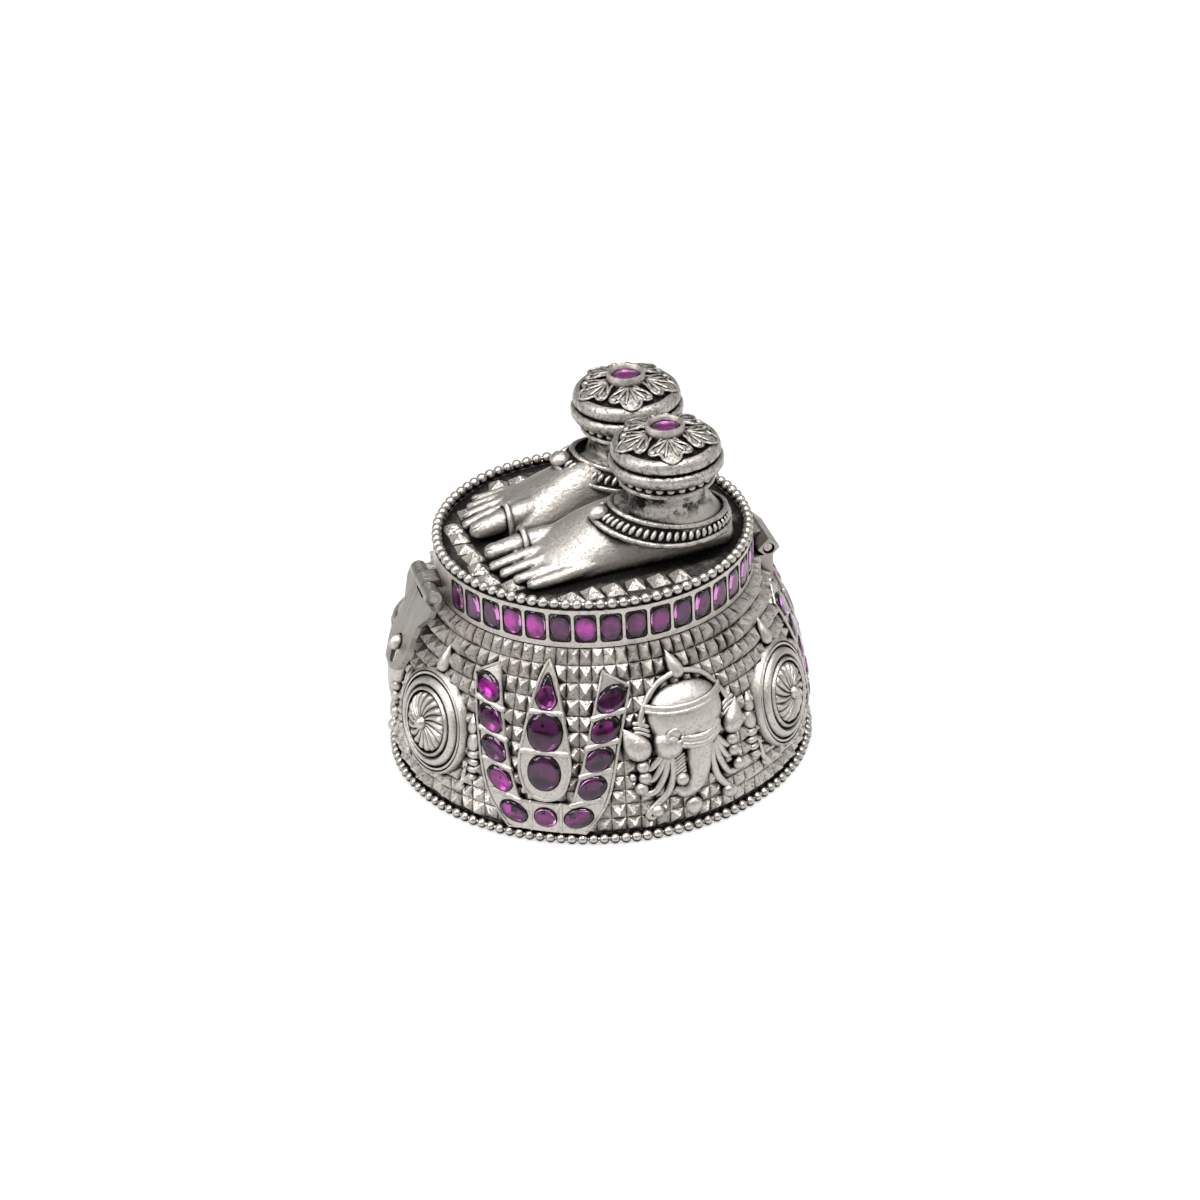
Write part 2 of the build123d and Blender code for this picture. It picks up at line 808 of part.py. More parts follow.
def stump_solid():
    waist = lid_top + stump_waist_height
    low = lid_top + anklet_lift
    flank = ThreePointArc((stump_radius, low), (stump_waist, waist), (stump_radius, cap_low))
    sides = Line((0, low), (stump_radius, low)) + Line((stump_radius, cap_low), (0, cap_low))
    return Pos(ankle_x, ankle_y, 0) * turned(flank + sides + Line((0, cap_low), (0, low)))


def make_foot():
    foot = loft([foot_section(section) for section in foot_sections])
    foot += stump_solid()
    for toe in toes:
        foot += toe_solid(toe)
    box = Box(4 * band_radius, 4 * band_radius, 4 * stump_height, align=standing)
    room = Pos(0, 0, lid_top + solder_gap) * box
    return foot & room


def make_toe_ring(foot):
    root, tip, radius = toes[0]
    share = (toe_ring_at - root[1]) / (tip[1] - root[1])
    x = root[0] + share * (tip[0] - root[0])
    height = lid_top + radius - toe_sink
    band = Torus(radius, toe_ring_wire / 2)
    ring = Pos(x, toe_ring_at, height) * Rot(90, 0, 0) * band
    half = Pos(x, toe_ring_at, height) * Box(4 * radius, 4 * radius, 4 * radius, align=standing)
    return (ring & half) - foot


def make_anklet(foot):
    half_x, half_y = anklet_half
    outline = Ellipse(half_x, half_y) - Ellipse(half_x - anklet_band, half_y - anklet_band)
    ring = extrude(outline, amount=anklet_height / 2, both=True)
    height = lid_top + anklet_lift + anklet_height / 2
    return Pos(ankle_x, anklet_centre_y, height) * Rot(-anklet_tilt, 0, 0) * ring - foot


def at_ankle(shape):
    return Pos(ankle_x, ankle_y, cap_low + solder_gap) * shape


def dome_arc(rise):
    edge_radius, edge_height = cap_shoulder
    middle_radius = (edge_radius + bezel_radius) / 2
    middle_height = edge_height + 0.62 * (cap_dome_top - edge_height)
    edge = (edge_radius, edge_height + rise)
    return ThreePointArc(edge, (middle_radius, middle_height + rise), (bezel_radius, cap_dome_top + rise))


def make_cap():
    lower_radius, lower_low, lower_high = cap_lower
    upper_radius, upper_low, upper_high = cap_upper
    steps = Polyline(
        (0, 0),
        (cap_ring[0], 0),
        cap_ring,
        (cap_neck[0], cap_ring[1]),
        cap_neck,
        (lower_radius, lower_low - 0.4),
        (lower_radius, lower_high - 0.4),
        cap_groove,
        (upper_radius, upper_low - 0.3),
        (upper_radius, upper_high - 0.3),
        cap_shoulder,
    )
    top = Line((bezel_radius, cap_dome_top), (0, cap_dome_top)) + Line((0, cap_dome_top), (0, 0))
    return at_ankle(turned(steps + dome_arc(0) + top))


def make_flower():
    petal_middle = (petal_reach + bezel_radius) / 2
    petal_length = petal_reach - bezel_radius
    petals = Sketch()
    for petal in range(petal_count):
        turn = Rot(0, 0, petal * 360 / petal_count)
        petals += turn * Pos(petal_middle, 0) * Ellipse(petal_length / 2 + petal_rise, petal_half)
    petals -= Circle(bezel_radius + setting_gap)
    edge_radius, edge_height = cap_shoulder
    low = Line((edge_radius, edge_height + solder_gap), (edge_radius, edge_height + petal_rise))
    high = Line((bezel_radius, cap_dome_top + solder_gap), (bezel_radius, cap_dome_top + petal_rise))
    shell = turned(dome_arc(solder_gap) + dome_arc(petal_rise) + low + high)
    return at_ankle(extrude(petals, amount=2 * cap_dome_top) & shell)


def make_bezel():
    inner = bezel_radius - bezel_wall
    low = cap_dome_top + solder_gap
    return at_ankle(tube(inner, bezel_radius, low, low + bezel_height))


def make_cap_stone():
    radius = bezel_radius - bezel_wall - setting_gap
    girdle = cap_stone_height / 2
    outline = Polyline(
        (0, 0),
        (radius, 0),
        (radius, girdle),
        (0.6 * radius, cap_stone_height),
        (0, cap_stone_height),
        close=True,
    )
    return at_ankle(Pos(0, 0, cap_dome_top + 2 * solder_gap) * turned(outline))


# Writing the pieces
os.makedirs("parts", exist_ok=True)
soldered = {"hasp_stud": make_stud(), "body_hinge_knuckles": make_body_knuckles()}
for place, pieces in enumerate([make_wheel(), make_tilak(), make_conch()]):
    for number in range(sets_of_ornaments):
        turn = Rot(0, 0, wheel_angle + place * ornament_pitch + number * set_pitch)
        for name, piece in pieces.items():
            soldered[f"{name}_{number + 1}"] = turn * piece
for name, piece in soldered.items():
    write(name, piece)
write("body_drum", make_drum(soldered.values()))
write("bottom_plate", make_bottom())
write("base_bead_wire", make_base_beads())
write("neck_collar", make_collar())
write("hinge_pin", make_hinge_pin())
write("lid_band", make_band())
write("lid_band_stones", make_band_stones())
write("lid_bead_wire", make_lid_beads())
write("lid_hinge_knuckle", make_lid_knuckle())
write("hasp_bracket", make_bracket())
write("hasp_pin", make_hasp_pin())
write("hasp_leaf", make_leaf())
one_foot = make_foot()
foot_pieces = {
    "foot": one_foot,
    "toe_ring": make_toe_ring(one_foot),
    "anklet": make_anklet(one_foot),
    "ankle_cap": make_cap(),
    "cap_flower": make_flower(),
    "cap_bezel": make_bezel(),
    "cap_stone": make_cap_stone(),
}
on_lid = {}
for name, piece in foot_pieces.items():
    on_lid[f"right_{name}"] = Rot(0, 0, feet_turn) * piece
    on_lid[f"left_{name}"] = Rot(0, 0, feet_turn) * mirror(piece, Plane.YZ)
for name, piece in on_lid.items():
    write(name, piece)
write("lid_plate", make_plate(on_lid.values()))
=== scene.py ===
import math
import bmesh
import bpy
from mathutils import Matrix, Vector


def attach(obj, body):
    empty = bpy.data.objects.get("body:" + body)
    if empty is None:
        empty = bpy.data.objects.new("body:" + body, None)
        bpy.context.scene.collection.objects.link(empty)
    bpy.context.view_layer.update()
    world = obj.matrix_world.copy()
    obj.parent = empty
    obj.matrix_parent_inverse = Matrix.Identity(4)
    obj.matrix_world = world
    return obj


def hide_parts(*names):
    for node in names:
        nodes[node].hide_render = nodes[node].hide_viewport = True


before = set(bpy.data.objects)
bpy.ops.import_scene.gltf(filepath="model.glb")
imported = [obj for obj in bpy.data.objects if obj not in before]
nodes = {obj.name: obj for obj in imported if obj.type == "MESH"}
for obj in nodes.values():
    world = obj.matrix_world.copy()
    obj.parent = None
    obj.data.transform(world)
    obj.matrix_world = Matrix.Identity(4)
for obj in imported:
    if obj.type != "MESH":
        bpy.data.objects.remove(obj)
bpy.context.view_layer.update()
mm = 0.001
print("frame loaded:", len(nodes), "nodes")


# Node helpers

def feed(tree, socket, value):
    if hasattr(value, "links"):
        tree.links.new(value, socket)
    elif isinstance(value, tuple) and len(value) < len(socket.default_value):
        socket.default_value = (*value, 1.0)
    else:
        socket.default_value = value


# inputs maps a socket's name or number to a value or to another node's output
def newNode(tree, kind, inputs=None, **settings):
    made = tree.nodes.new(kind)
    for key, value in settings.items():
        setattr(made, key, value)
    for key, value in (inputs or {}).items():
        feed(tree, made.inputs[key], value)
    return made


def newTree(name, kind, inputs, outputs):
    tree = bpy.data.node_groups.new(name, kind)
    for way, sockets in (("INPUT", inputs), ("OUTPUT", outputs)):
        for label, holds in sockets.items():
            tree.interface.new_socket(label, in_out=way, socket_type="NodeSocket" + holds)
    return tree, newNode(tree, "NodeGroupInput").outputs, newNode(tree, "NodeGroupOutput").inputs


def mixColor(tree, factor, first, second):
    return newNode(tree, "ShaderNodeMix", {0: factor, 6: first, 7: second}, data_type="RGBA").outputs[2]


def mapRange(tree, value, low, high, outLow=0.0, outHigh=1.0, kind="SMOOTHSTEP"):
    inputs = {"Value": value, "From Min": low, "From Max": high, "To Min": outLow, "To Max": outHigh}
    return newNode(tree, "ShaderNodeMapRange", inputs, interpolation_type=kind).outputs[0]


def noise(tree, vector, scale, detail=3.0, rough=0.6):
    inputs = {"Vector": vector, "Scale": scale, "Detail": detail, "Roughness": rough}
    return newNode(tree, "ShaderNodeTexNoise", inputs).outputs["Fac"]


def math2(tree, operation, first, second=0.0):
    return newNode(tree, "ShaderNodeMath", {0: first, 1: second}, operation=operation).outputs[0]


def apart(tree, vector):
    return newNode(tree, "ShaderNodeSeparateXYZ", {0: vector}).outputs


# Materials

silverTone = {"bright": (0.62, 0.585, 0.54), "dull": (0.34, 0.32, 0.295), "oxideAndShade": (0.014, 0.013, 0.0125),
              "warm": (0.50, 0.46, 0.41), "pit": (0.06, 0.056, 0.052)}
stoneTone = {"light": (0.80, 0.27, 0.74), "full": (0.72, 0.19, 0.65)}


# Shared finish of old silver: blackened where it is shut in, rubbed bright where it stands out.
# Open also brings in the materials' painted shade on what looks down, so the dark colour serves oxide and
# painted shade
def buildSilverGroup():
    inputs = {"Vector": "Vector"}
    for name in ("Open", "Pits", "Tone", "Grain", "Polish", "Ragged"):
        inputs[name] = "Float"
    tree, given, result = newTree("oldSilver", "ShaderNodeTree", inputs,
                                  {"Color": "Color", "Roughness": "Float", "Height": "Float"})
    vector = given["Vector"]
    cloud = noise(tree, vector, 420.0)
    patch = noise(tree, vector, 1500.0)
    grain = noise(tree, vector, given["Grain"], 4.0, 0.65)
    pits = math2(tree, "MULTIPLY", mapRange(tree, noise(tree, vector, 3000.0), 0.55, 0.65), given["Pits"])
    ragged = math2(tree, "MULTIPLY", mapRange(tree, patch, 0.30, 0.70, -1.0, 0.7), given["Ragged"])
    opened = math2(tree, "ADD", given["Open"], mapRange(tree, cloud, 0.30, 0.75, -0.16, 0.12))
    opened = math2(tree, "ADD", opened, ragged)
    opened = math2(tree, "ADD", opened, mapRange(tree, grain, 0.25, 0.75, -0.14, 0.10))
    opened = mapRange(tree, opened, 0.02, 0.92)
    toned = mixColor(tree, given["Tone"], silverTone["dull"], silverTone["bright"])
    warm = mixColor(tree, mapRange(tree, cloud, 0.35, 0.7, 0.0, 0.35), toned, silverTone["warm"])
    # Dark colour where Open is low: oxide in hollows, and painted shade where a material darkens what looks
    # down
    color = mixColor(tree, opened, silverTone["oxideAndShade"], warm)
    color = mixColor(tree, math2(tree, "MULTIPLY", pits, 0.8), color, silverTone["pit"])
    rough = mapRange(tree, grain, 0.2, 0.8, 0.36, 0.56, "LINEAR")
    rough = math2(tree, "SUBTRACT", rough, math2(tree, "MULTIPLY", given["Polish"], 0.20))
    rough = math2(tree, "ADD", rough, math2(tree, "MULTIPLY", math2(tree, "SUBTRACT", 1.0, opened), 0.35))
    height = math2(tree, "ADD", grain, math2(tree, "MULTIPLY", patch, 0.9))
    height = math2(tree, "SUBTRACT", height, math2(tree, "MULTIPLY", pits, 0.8))
    for key, value in (("Color", color), ("Roughness", rough), ("Height", height)):
        feed(tree, result[key], value)
    return tree


silverGroup = buildSilverGroup()


def newMaterial(name, fixed):
    material = bpy.data.materials.new(name)
    material.use_nodes = True
    tree = material.node_tree
    shader = tree.nodes["Principled BSDF"].inputs
    for key, value in fixed.items():
        shader[key].default_value = value
    return material, tree, shader, newNode(tree, "ShaderNodeTexCoord").outputs


# Optional darkening: painted shade on what looks down, valley by the mesh's own rise value, above in patches
# between two heights; stretch draws the grain out
def silverMaterial(name, reach=1.2, low=0.30, high=0.85, tone=0.8, pits=0.5, grain=2600.0, polish=0.4,
                   bump=0.6, bumpDepth=0.06, ragged=0.08, paintedShadeBelow=0.0, valley=0.0, stretch=None, above=None):
    material, tree, shader, place = newMaterial(name, {"Metallic": 1.0})
    vector = place["Object"]
    if stretch:
        vector = newNode(tree, "ShaderNodeMapping", {"Vector": vector, "Scale": stretch}).outputs[0]
    shut = newNode(tree, "ShaderNodeAmbientOcclusion", {"Distance": reach * mm}, samples=8)
    opened = mapRange(tree, shut.outputs["AO"], low, high)
    # Painted shade: faces whose normal looks down are pushed towards the dark colour, standing in for shade
    # below
    if paintedShadeBelow:
        facing = apart(tree, place["Normal"])["Z"]
        opened = math2(tree, "MULTIPLY", opened, mapRange(tree, facing, -0.7, 0.25, 1.0 - paintedShadeBelow, 1.0))
    if above:
        patch = mapRange(tree, noise(tree, place["Object"], 330.0, 4.0, 0.65), 0.42, 0.58)
        upper = mapRange(tree, apart(tree, place["Object"])["Z"], *above)
        opened = math2(tree, "SUBTRACT", opened, math2(tree, "MULTIPLY", patch, upper))
    if valley:
        rise = newNode(tree, "ShaderNodeAttribute", attribute_name="rise").outputs["Fac"]
        opened = math2(tree, "MULTIPLY", opened, mapRange(tree, rise, 0.0, valley, 0.48, 1.0))
    values = {"Vector": vector, "Open": opened, "Pits": pits, "Tone": tone, "Grain": grain, "Polish": polish,
              "Ragged": ragged}
    finish = newNode(tree, "ShaderNodeGroup", values, node_tree=silverGroup).outputs
    relief = newNode(tree, "ShaderNodeBump", {"Strength": bump, "Distance": bumpDepth * mm,
                                              "Height": finish["Height"]})
    feed(tree, shader["Base Color"], finish["Color"])
    feed(tree, shader["Roughness"], finish["Roughness"])
    feed(tree, shader["Normal"], relief.outputs["Normal"])
    return material


def foilMaterial(name, deep, bright, metal):
    material, tree, shader, place = newMaterial(name, {"Metallic": metal, "Roughness": 0.28})
    patch = noise(tree, place["Object"], 420.0, 2.0, 0.5)
    feed(tree, shader["Base Color"], mixColor(tree, mapRange(tree, patch, 0.38, 0.62), deep, bright))
    return material


def glassMaterial():
    material, tree, shader, place = newMaterial("magentaGlass", {"Transmission Weight": 1.0, "IOR": 1.56})
    wear = noise(tree, place["Object"], 900.0)
    feed(tree, shader["Roughness"], mapRange(tree, wear, 0.35, 0.75, 0.015, 0.09))
    tint = mixColor(tree, mapRange(tree, wear, 0.3, 0.7), stoneTone["light"], stoneTone["full"])
    feed(tree, shader["Base Color"], tint)
    return material


settingBlack = silverMaterial("settingBlack", reach=1.0, low=0.5, high=1.6, tone=0.0, pits=0.6, grain=3000.0,
                              polish=0.0)
drumSilver = silverMaterial("drumSilver", reach=1.3, low=0.20, high=0.72, tone=0.97, pits=0.85, polish=0.45,
                            bump=1.0, bumpDepth=0.10, ragged=0.20, paintedShadeBelow=0.25, valley=0.14)
wornSilver = silverMaterial("wornSilver", reach=1.3, low=0.25, high=0.82, tone=0.82, pits=0.95, polish=0.14,
                            bump=1.0, bumpDepth=0.18, ragged=0.34, valley=0.14)
reliefSilver = silverMaterial("reliefSilver", reach=1.4, low=0.30, high=0.80, tone=0.92, pits=0.40,
                              grain=2400.0, polish=0.34, bump=0.9, bumpDepth=0.09, ragged=0.10, paintedShadeBelow=0.30)
beadSilver = silverMaterial("beadSilver", reach=1.3, low=0.36, tone=0.85, pits=0.3, grain=2400.0, polish=0.6,
                            bump=0.4, paintedShadeBelow=0.85)
plateSilver = silverMaterial("plateSilver", reach=0.9, low=0.28, high=0.78, tone=0.92, pits=0.45,
                             grain=1500.0, polish=0.30, bump=0.9, bumpDepth=0.09, ragged=0.10, paintedShadeBelow=0.2)
leafSilver = silverMaterial("leafSilver", low=0.35, high=0.90, tone=0.10, pits=0.45, grain=2200.0,
                            polish=0.20, bump=1.0, bumpDepth=0.10, ragged=0.20, paintedShadeBelow=0.2,
                            stretch=(1.0, 0.10, 0.10))
footSilver = silverMaterial("footSilver", reach=1.8, low=0.48, high=0.92, tone=0.60, pits=0.45, polish=0.26,
                            bump=1.0, bumpDepth=0.10, above=(0.0385, 0.0420, 0.0, 0.75))
capSilver = silverMaterial("capSilver", reach=1.5, low=0.40, high=0.92, tone=0.70, pits=0.80, grain=2000.0,
                           polish=0.45, bump=1.0, bumpDepth=0.09, ragged=0.42, paintedShadeBelow=0.3)
groundSilver = silverMaterial("groundSilver", reach=2.5, low=0.66, high=1.42, tone=0.10, pits=0.8,
                              polish=0.0, bump=0.8, bumpDepth=0.10, ragged=0.10)
insideSilver = silverMaterial("insideSilver", reach=2.0, low=0.10, high=0.60, tone=0.75, pits=0.3,
                              grain=1200.0, polish=0.2, bump=0.3)
# Painted light: one foil in lit, half-shaded and shaded copies; each stone is given the copy for how it
# catches the light
stoneFoils = [foilMaterial("foilPaintedLit", (0.22, 0.12, 0.19), (0.92, 0.52, 0.86), 0.6),
              foilMaterial("foilPaintedHalfShade", (0.05, 0.03, 0.045), (0.34, 0.19, 0.31), 0.5),
              foilMaterial("foilPaintedShade", (0.018, 0.014, 0.017), (0.085, 0.055, 0.080), 0.1)]
stoneGlass = glassMaterial()
print("materials made")

# Drum sizes, and points on its wall; everything is in millimetres until a piece is made

drum = {"footRadius": 28.6, "footStraight": 3.0, "rimRadius": 22.0, "rimHeight": 26.8,
        "wall": 1.2, "rimLand": 1.2, "insideLevels": (22.0, 17.0, 11.0, 3.0, 0.0),
        "columns": 88, "rows": 12, "firstRow": 1.5,
        "studHeight": 0.95, "studTall": 1.45, "tallFrom": (17.5, 22.5), "studTip": 0.06, "studJitter": 0.24,
        "seed": 5, "ornaments": ((20, 2.2, 24.0), (60, 11.0, 26.0), (100, 8.0, 23.6)), "setTurn": 120}
arcRise = drum["rimHeight"] - drum["footStraight"]
arcDrop = drum["footRadius"] - drum["rimRadius"]
arcRadius = (arcDrop ** 2 + arcRise ** 2) / (2 * arcDrop)
arcCentre = drum["footRadius"] - arcRadius


def wallRadius(z):
    over = max(z - drum["footStraight"], 0.0)
    return arcCentre + math.sqrt(arcRadius ** 2 - over ** 2)


def wallSlope(z):
    return math.asin(max(z - drum["footStraight"], 0.0) / arcRadius)


# Point on the drum: x along the wall from an ornament's axis, z up, lift off the wall
def wallPoint(axis, x, z, lift=0.0):
    radius = wallRadius(z)
    turn = math.asin(max(-0.99, min(0.99, x / radius))) + math.radians(axis)
    slope = wallSlope(z)
    flat = radius + lift * math.cos(slope)
    return Vector((flat * math.sin(turn), -flat * math.cos(turn), z + lift * math.sin(slope)))


# Point at lift over the drum whose own height is z
def platePoint(axis, x, z, lift):
    low = z
    for step in range(3):
        low = z - lift * math.sin(wallSlope(low))
    return wallPoint(axis, x, low, lift)


# Shape helpers: each gives points and faces

def smoothLine(points, steps=8, closed=False):
    many = []
    count = len(points)
    for i in range(count if closed else count - 1):
        if closed:
            near = [points[(i + k - 1) % count] for k in range(4)]
        else:
            near = [points[max(0, min(count - 1, i + k - 1))] for k in range(4)]
        for s in range(steps):
            t = s / steps
            many.append(tuple(0.5 * (2 * b + (c - a) * t + (2 * a - 5 * b + 4 * c - d) * t * t +
                                     (3 * b - a - 3 * c + d) * t ** 3) for a, b, c, d in zip(*near)))
    if not closed:
        many.append(tuple(points[-1]))
    return many


# Faces between rows of points that each run round; loop joins the last row to the first, ends closes both
def ringFaces(rows, count, loop=False, ends=False):
    faces = []
    for r in range(rows if loop else rows - 1):
        low, high = r * count, (r + 1) % rows * count
        for k in range(count):
            n = (k + 1) % count
            faces.append((low + k, low + n, high + n, high + k))
    if ends:
        faces.append(tuple(range(count)))
        faces.append(tuple(range((rows - 1) * count, rows * count)))
    return faces


# Tube along points, with a radius for each, round ends where open
def tube(points, radii, sides=10, closed=False):
    points = [Vector(p) for p in points]
    count = len(points)
    rings = []
    side = None
    for i in range(count):
        if closed:
            way = points[(i + 1) % count] - points[i - 1]
        else:
            way = points[min(i + 1, count - 1)] - points[max(i - 1, 0)]
        way.normalize()
        side = way.orthogonal().normalized() if side is None else (side - way * side.dot(way)).normalized()
        rings.append((points[i], way, side, radii[i]))
    if not closed:
        rounded = []
        for (place, way, side, radius), sign in ((rings[0], -1), (rings[-1], 1)):
            rounded.append([(place + way * (sign * radius * math.sin(a)), way, side, radius * math.cos(a))
                            for a in (0.65, 1.2)])
        rings = rounded[0][::-1] + rings + rounded[1]
    verts = []
    for place, way, side, radius in rings:
        other = way.cross(side)
        for s in range(sides):
            a = 2 * math.pi * s / sides
            verts.append(place + (side * math.cos(a) + other * math.sin(a)) * radius)
    return verts, ringFaces(len(rings), sides, closed, not closed)


# Solid turned about an upright axis from (radius, height) points; ends on the axis are closed
def turned(profile, segments=96, closed=False):
    verts, faces, rows = [], [], []
    for radius, height in profile:
        if radius < 1e-6:
            rows.append([len(verts)])
            verts.append(Vector((0, 0, height)))
        else:
            rows.append(list(range(len(verts), len(verts) + segments)))
            for s in range(segments):
                a = 2 * math.pi * s / segments
                verts.append(Vector((radius * math.cos(a), radius * math.sin(a), height)))
    pairs = list(zip(rows, rows[1:]))
    if closed:
        pairs.append((rows[-1], rows[0]))
    for low, high in pairs:
        for s in range(segments):
            n = (s + 1) % segments
            if len(low) == 1:
                faces.append((low[0], high[n], high[s]))
            elif len(high) == 1:
                faces.append((low[s], low[n], high[0]))
            else:
                faces.append((low[s], low[n], high[n], high[s]))
    return verts, faces


# Ball, squeezed and placed
def ball(place, size, segments=14, rings=9, turn=None):
    size = (size,) * 3 if isinstance(size, (int, float)) else size
    angles = [math.pi * r / rings for r in range(rings + 1)]
    verts, faces = turned([(math.sin(a), -math.cos(a)) for a in angles], segments)
    turn = turn or Matrix.Identity(3)
    place = Vector(place)
    return [place + turn @ Vector((v.x * size[0], v.y * size[1], v.z * size[2])) for v in verts], faces


def wallBall(axis, x, z, radius, lift):
    return ball(wallPoint(axis, x, z, lift), radius)


# Pillow over an outline on the drum: steep at its edge, rounded over to its middle
def pillow(axis, line, height, foot=-0.5, rings=6, power=2.4, edge=0.30):
    count = len(line)
    middle = (sum(p[0] for p in line) / count, sum(p[1] for p in line) / count)
    verts = [wallPoint(axis, x, z, foot) for x, z in line]
    for r in range(rings):
        share = 1.0 - (r / rings) ** 1.15
        rise = edge * height + (1 - edge) * height * (1 - share ** power) ** (1 / power)
        for p in line:
            x, z = (m + (c - m) * share for m, c in zip(middle, p))
            verts.append(wallPoint(axis, x, z, rise))
    faces = ringFaces(rings + 1, count)
    for s in range(count):
        faces.append((rings * count + s, rings * count + (s + 1) % count, len(verts)))
    verts.append(wallPoint(axis, *middle, height))
    faces.append(tuple(range(count)))
    return verts, faces


# Tube over the drum through (x, z, lift) points
def liftedTube(axis, points, radius, endRadius=None, sides=10, steps=8):
    line = smoothLine(points, steps)
    last = radius if endRadius is None else endRadius
    radii = [radius + (last - radius) * i / (len(line) - 1) for i in range(len(line))]
    return tube([wallPoint(axis, *p) for p in line], radii, sides)


# Tube lying on the drum through (x, z) points
def wallTube(axis, points, radius, lift, endRadius=None):
    return liftedTube(axis, [(x, z, lift) for x, z in points], radius, endRadius, 9, 6)


# Drop lying on the drum: a turned body with a round end at x, z and a tip that leans
def wallDrop(axis, x, z, radius, length, leanDeg, height):
    lean = math.radians(leanDeg)
    profile = [(radius * math.sin(a), -radius * math.cos(a)) for a in (math.pi * k / 14 for k in range(8))]
    profile += [(radius * (1 - (k / 12) ** 2) ** 1.35, (length - radius) * k / 12) for k in range(1, 12)]
    verts, faces = turned(profile + [(0, length - radius)], 24)
    places = []
    for v in verts:
        lift = height * (0.4 + 0.6 * v.y / radius)
        places.append(wallPoint(axis, x + v.x * math.cos(lean) + v.z * math.sin(lean),
                                z + v.z * math.cos(lean) - v.x * math.sin(lean), lift))
    return places, faces


def turnedAbout(part, degrees):
    spin = Matrix.Rotation(math.radians(degrees), 3, "Z")
    return [spin @ v for v in part[0]], part[1]


def mirrored(part):
    return [Vector((-v.x, v.y, v.z)) for v in part[0]], [tuple(reversed(f)) for f in part[1]]


def painted(parts, material):
    return [(*part, material) for part in parts]


# Objects

def newObject(name, data):
    made = bpy.data.objects.new(name, data)
    bpy.context.scene.collection.objects.link(made)
    return made


# One mesh in metres from several parts, facing outwards
def joinedMesh(name, parts):
    verts, faces = [], []
    for points, shapes in parts:
        start = len(verts)
        verts.extend(tuple(c * mm for c in p) for p in points)
        faces.extend(tuple(i + start for i in f) for f in shapes)
    mesh = bpy.data.meshes.new(name)
    mesh.from_pydata(verts, [], faces)
    shaped = bmesh.new()
    shaped.from_mesh(mesh)
    bmesh.ops.recalc_face_normals(shaped, faces=shaped.faces)
    shaped.to_mesh(mesh)
    shaped.free()
    return mesh


def finishPiece(piece, body, replaced=(), sharp=38.0):
    mesh = piece.data
    mesh.polygons.foreach_set("use_smooth", [True] * len(mesh.polygons))
    mesh.set_sharp_from_angle(angle=math.radians(sharp))
    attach(piece, body)
    if replaced:
        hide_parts(*replaced)
    return piece


# One object from several parts, each (verts, faces, material); it rides a body and may stand for CAD nodes
def makePiece(name, parts, body, replaced=(), sharp=38.0):
    mesh = joinedMesh(name, [part[:2] for part in parts])
    materials, indexes = [], []
    for points, shapes, material in parts:
        if material not in materials:
            materials.append(material)
            mesh.materials.append(material)
        indexes.extend([materials.index(material)] * len(shapes))
    mesh.polygons.foreach_set("material_index", indexes)
    return finishPiece(newObject(name, mesh), body, replaced, sharp)


# Several parts made one skin and smoothed
def blended(name, parts, voxel, rounds):
    rough = newObject(name, joinedMesh(name, parts))
    skin = rough.modifiers.new("skin", "REMESH")
    skin.mode = "VOXEL"
    skin.voxel_size = voxel * mm
    even = rough.modifiers.new("even", "SMOOTH")
    even.factor = 0.5
    even.iterations = rounds
    smooth = bpy.data.meshes.new_from_object(rough.evaluated_get(bpy.context.evaluated_depsgraph_get()))
    bpy.data.objects.remove(rough)
    result = [Vector(v.co) / mm for v in smooth.vertices], [tuple(p.vertices) for p in smooth.polygons]
    bpy.data.meshes.remove(smooth)
    return result


# Geometry Nodes helpers

def newGeometryTree(name, inputs):
    inputs = {"Geometry": "Geometry", **inputs, "Material": "Material"}
    return newTree(name, "GeometryNodeTree", inputs, {"Geometry": "Geometry"})


def endTree(tree, given, result, geometry):
    real = newNode(tree, "GeometryNodeRealizeInstances", {0: geometry})
    paint = newNode(tree, "GeometryNodeSetMaterial",
                    {"Geometry": real.outputs[0], "Material": given["Material"]})
    feed(tree, result[0], paint.outputs[0])


def runTree(name, mesh, tree, values):
    source = newObject(name, mesh)
    modifier = source.modifiers.new("nodes", "NODES")
    modifier.node_group = tree
    for item in tree.interface.items_tree:
        if item.in_out == "INPUT" and item.name in values:
            modifier[item.identifier] = values[item.name]
    graph = bpy.context.evaluated_depsgraph_get()
    made = bpy.data.meshes.new_from_object(source.evaluated_get(graph))
    source.modifiers.remove(modifier)
    source.data = made
    made.name = name
    return source


def namedValue(tree, name, kind):
    return newNode(tree, "GeometryNodeInputNamedAttribute", {"Name": name},
                   data_type=kind).outputs["Attribute"]


# Random vector between two others
def stray(tree, low, high, seed=0):
    inputs = {0: low, 1: high, "Seed": seed}
    return newNode(tree, "FunctionNodeRandomValue", inputs, data_type="FLOAT_VECTOR").outputs[0]


def vectorMath(tree, operation, inputs):
    return newNode(tree, "ShaderNodeVectorMath", inputs, operation=operation).outputs


# Keeps how far each point stands up, which the silver reads as its attribute rise
def storeRise(tree, geometry, value):
    inputs = {"Name": "rise", "Geometry": geometry, "Value": value}
    return newNode(tree, "GeometryNodeStoreNamedAttribute", inputs, data_type="FLOAT",
                   domain="POINT").outputs[0]


# Drum: a shell whose outer cells are drawn up into pyramids

# Height of a pyramid: taller towards the rim, low where an ornament (axis, half width, top) lies over it
def studRise(turn, z):
    for axis, half, top in drum["ornaments"]:
        off = (turn - axis + drum["setTurn"] / 2) % drum["setTurn"] - drum["setTurn"] / 2
        if z < top and abs(wallRadius(z) * math.radians(off)) < half:
            return drum["studHeight"]
    low, high = drum["tallFrom"]
    share = max(0.0, min(1.0, (z - low) / (high - low)))
    return drum["studHeight"] + (drum["studTall"] - drum["studHeight"]) * share


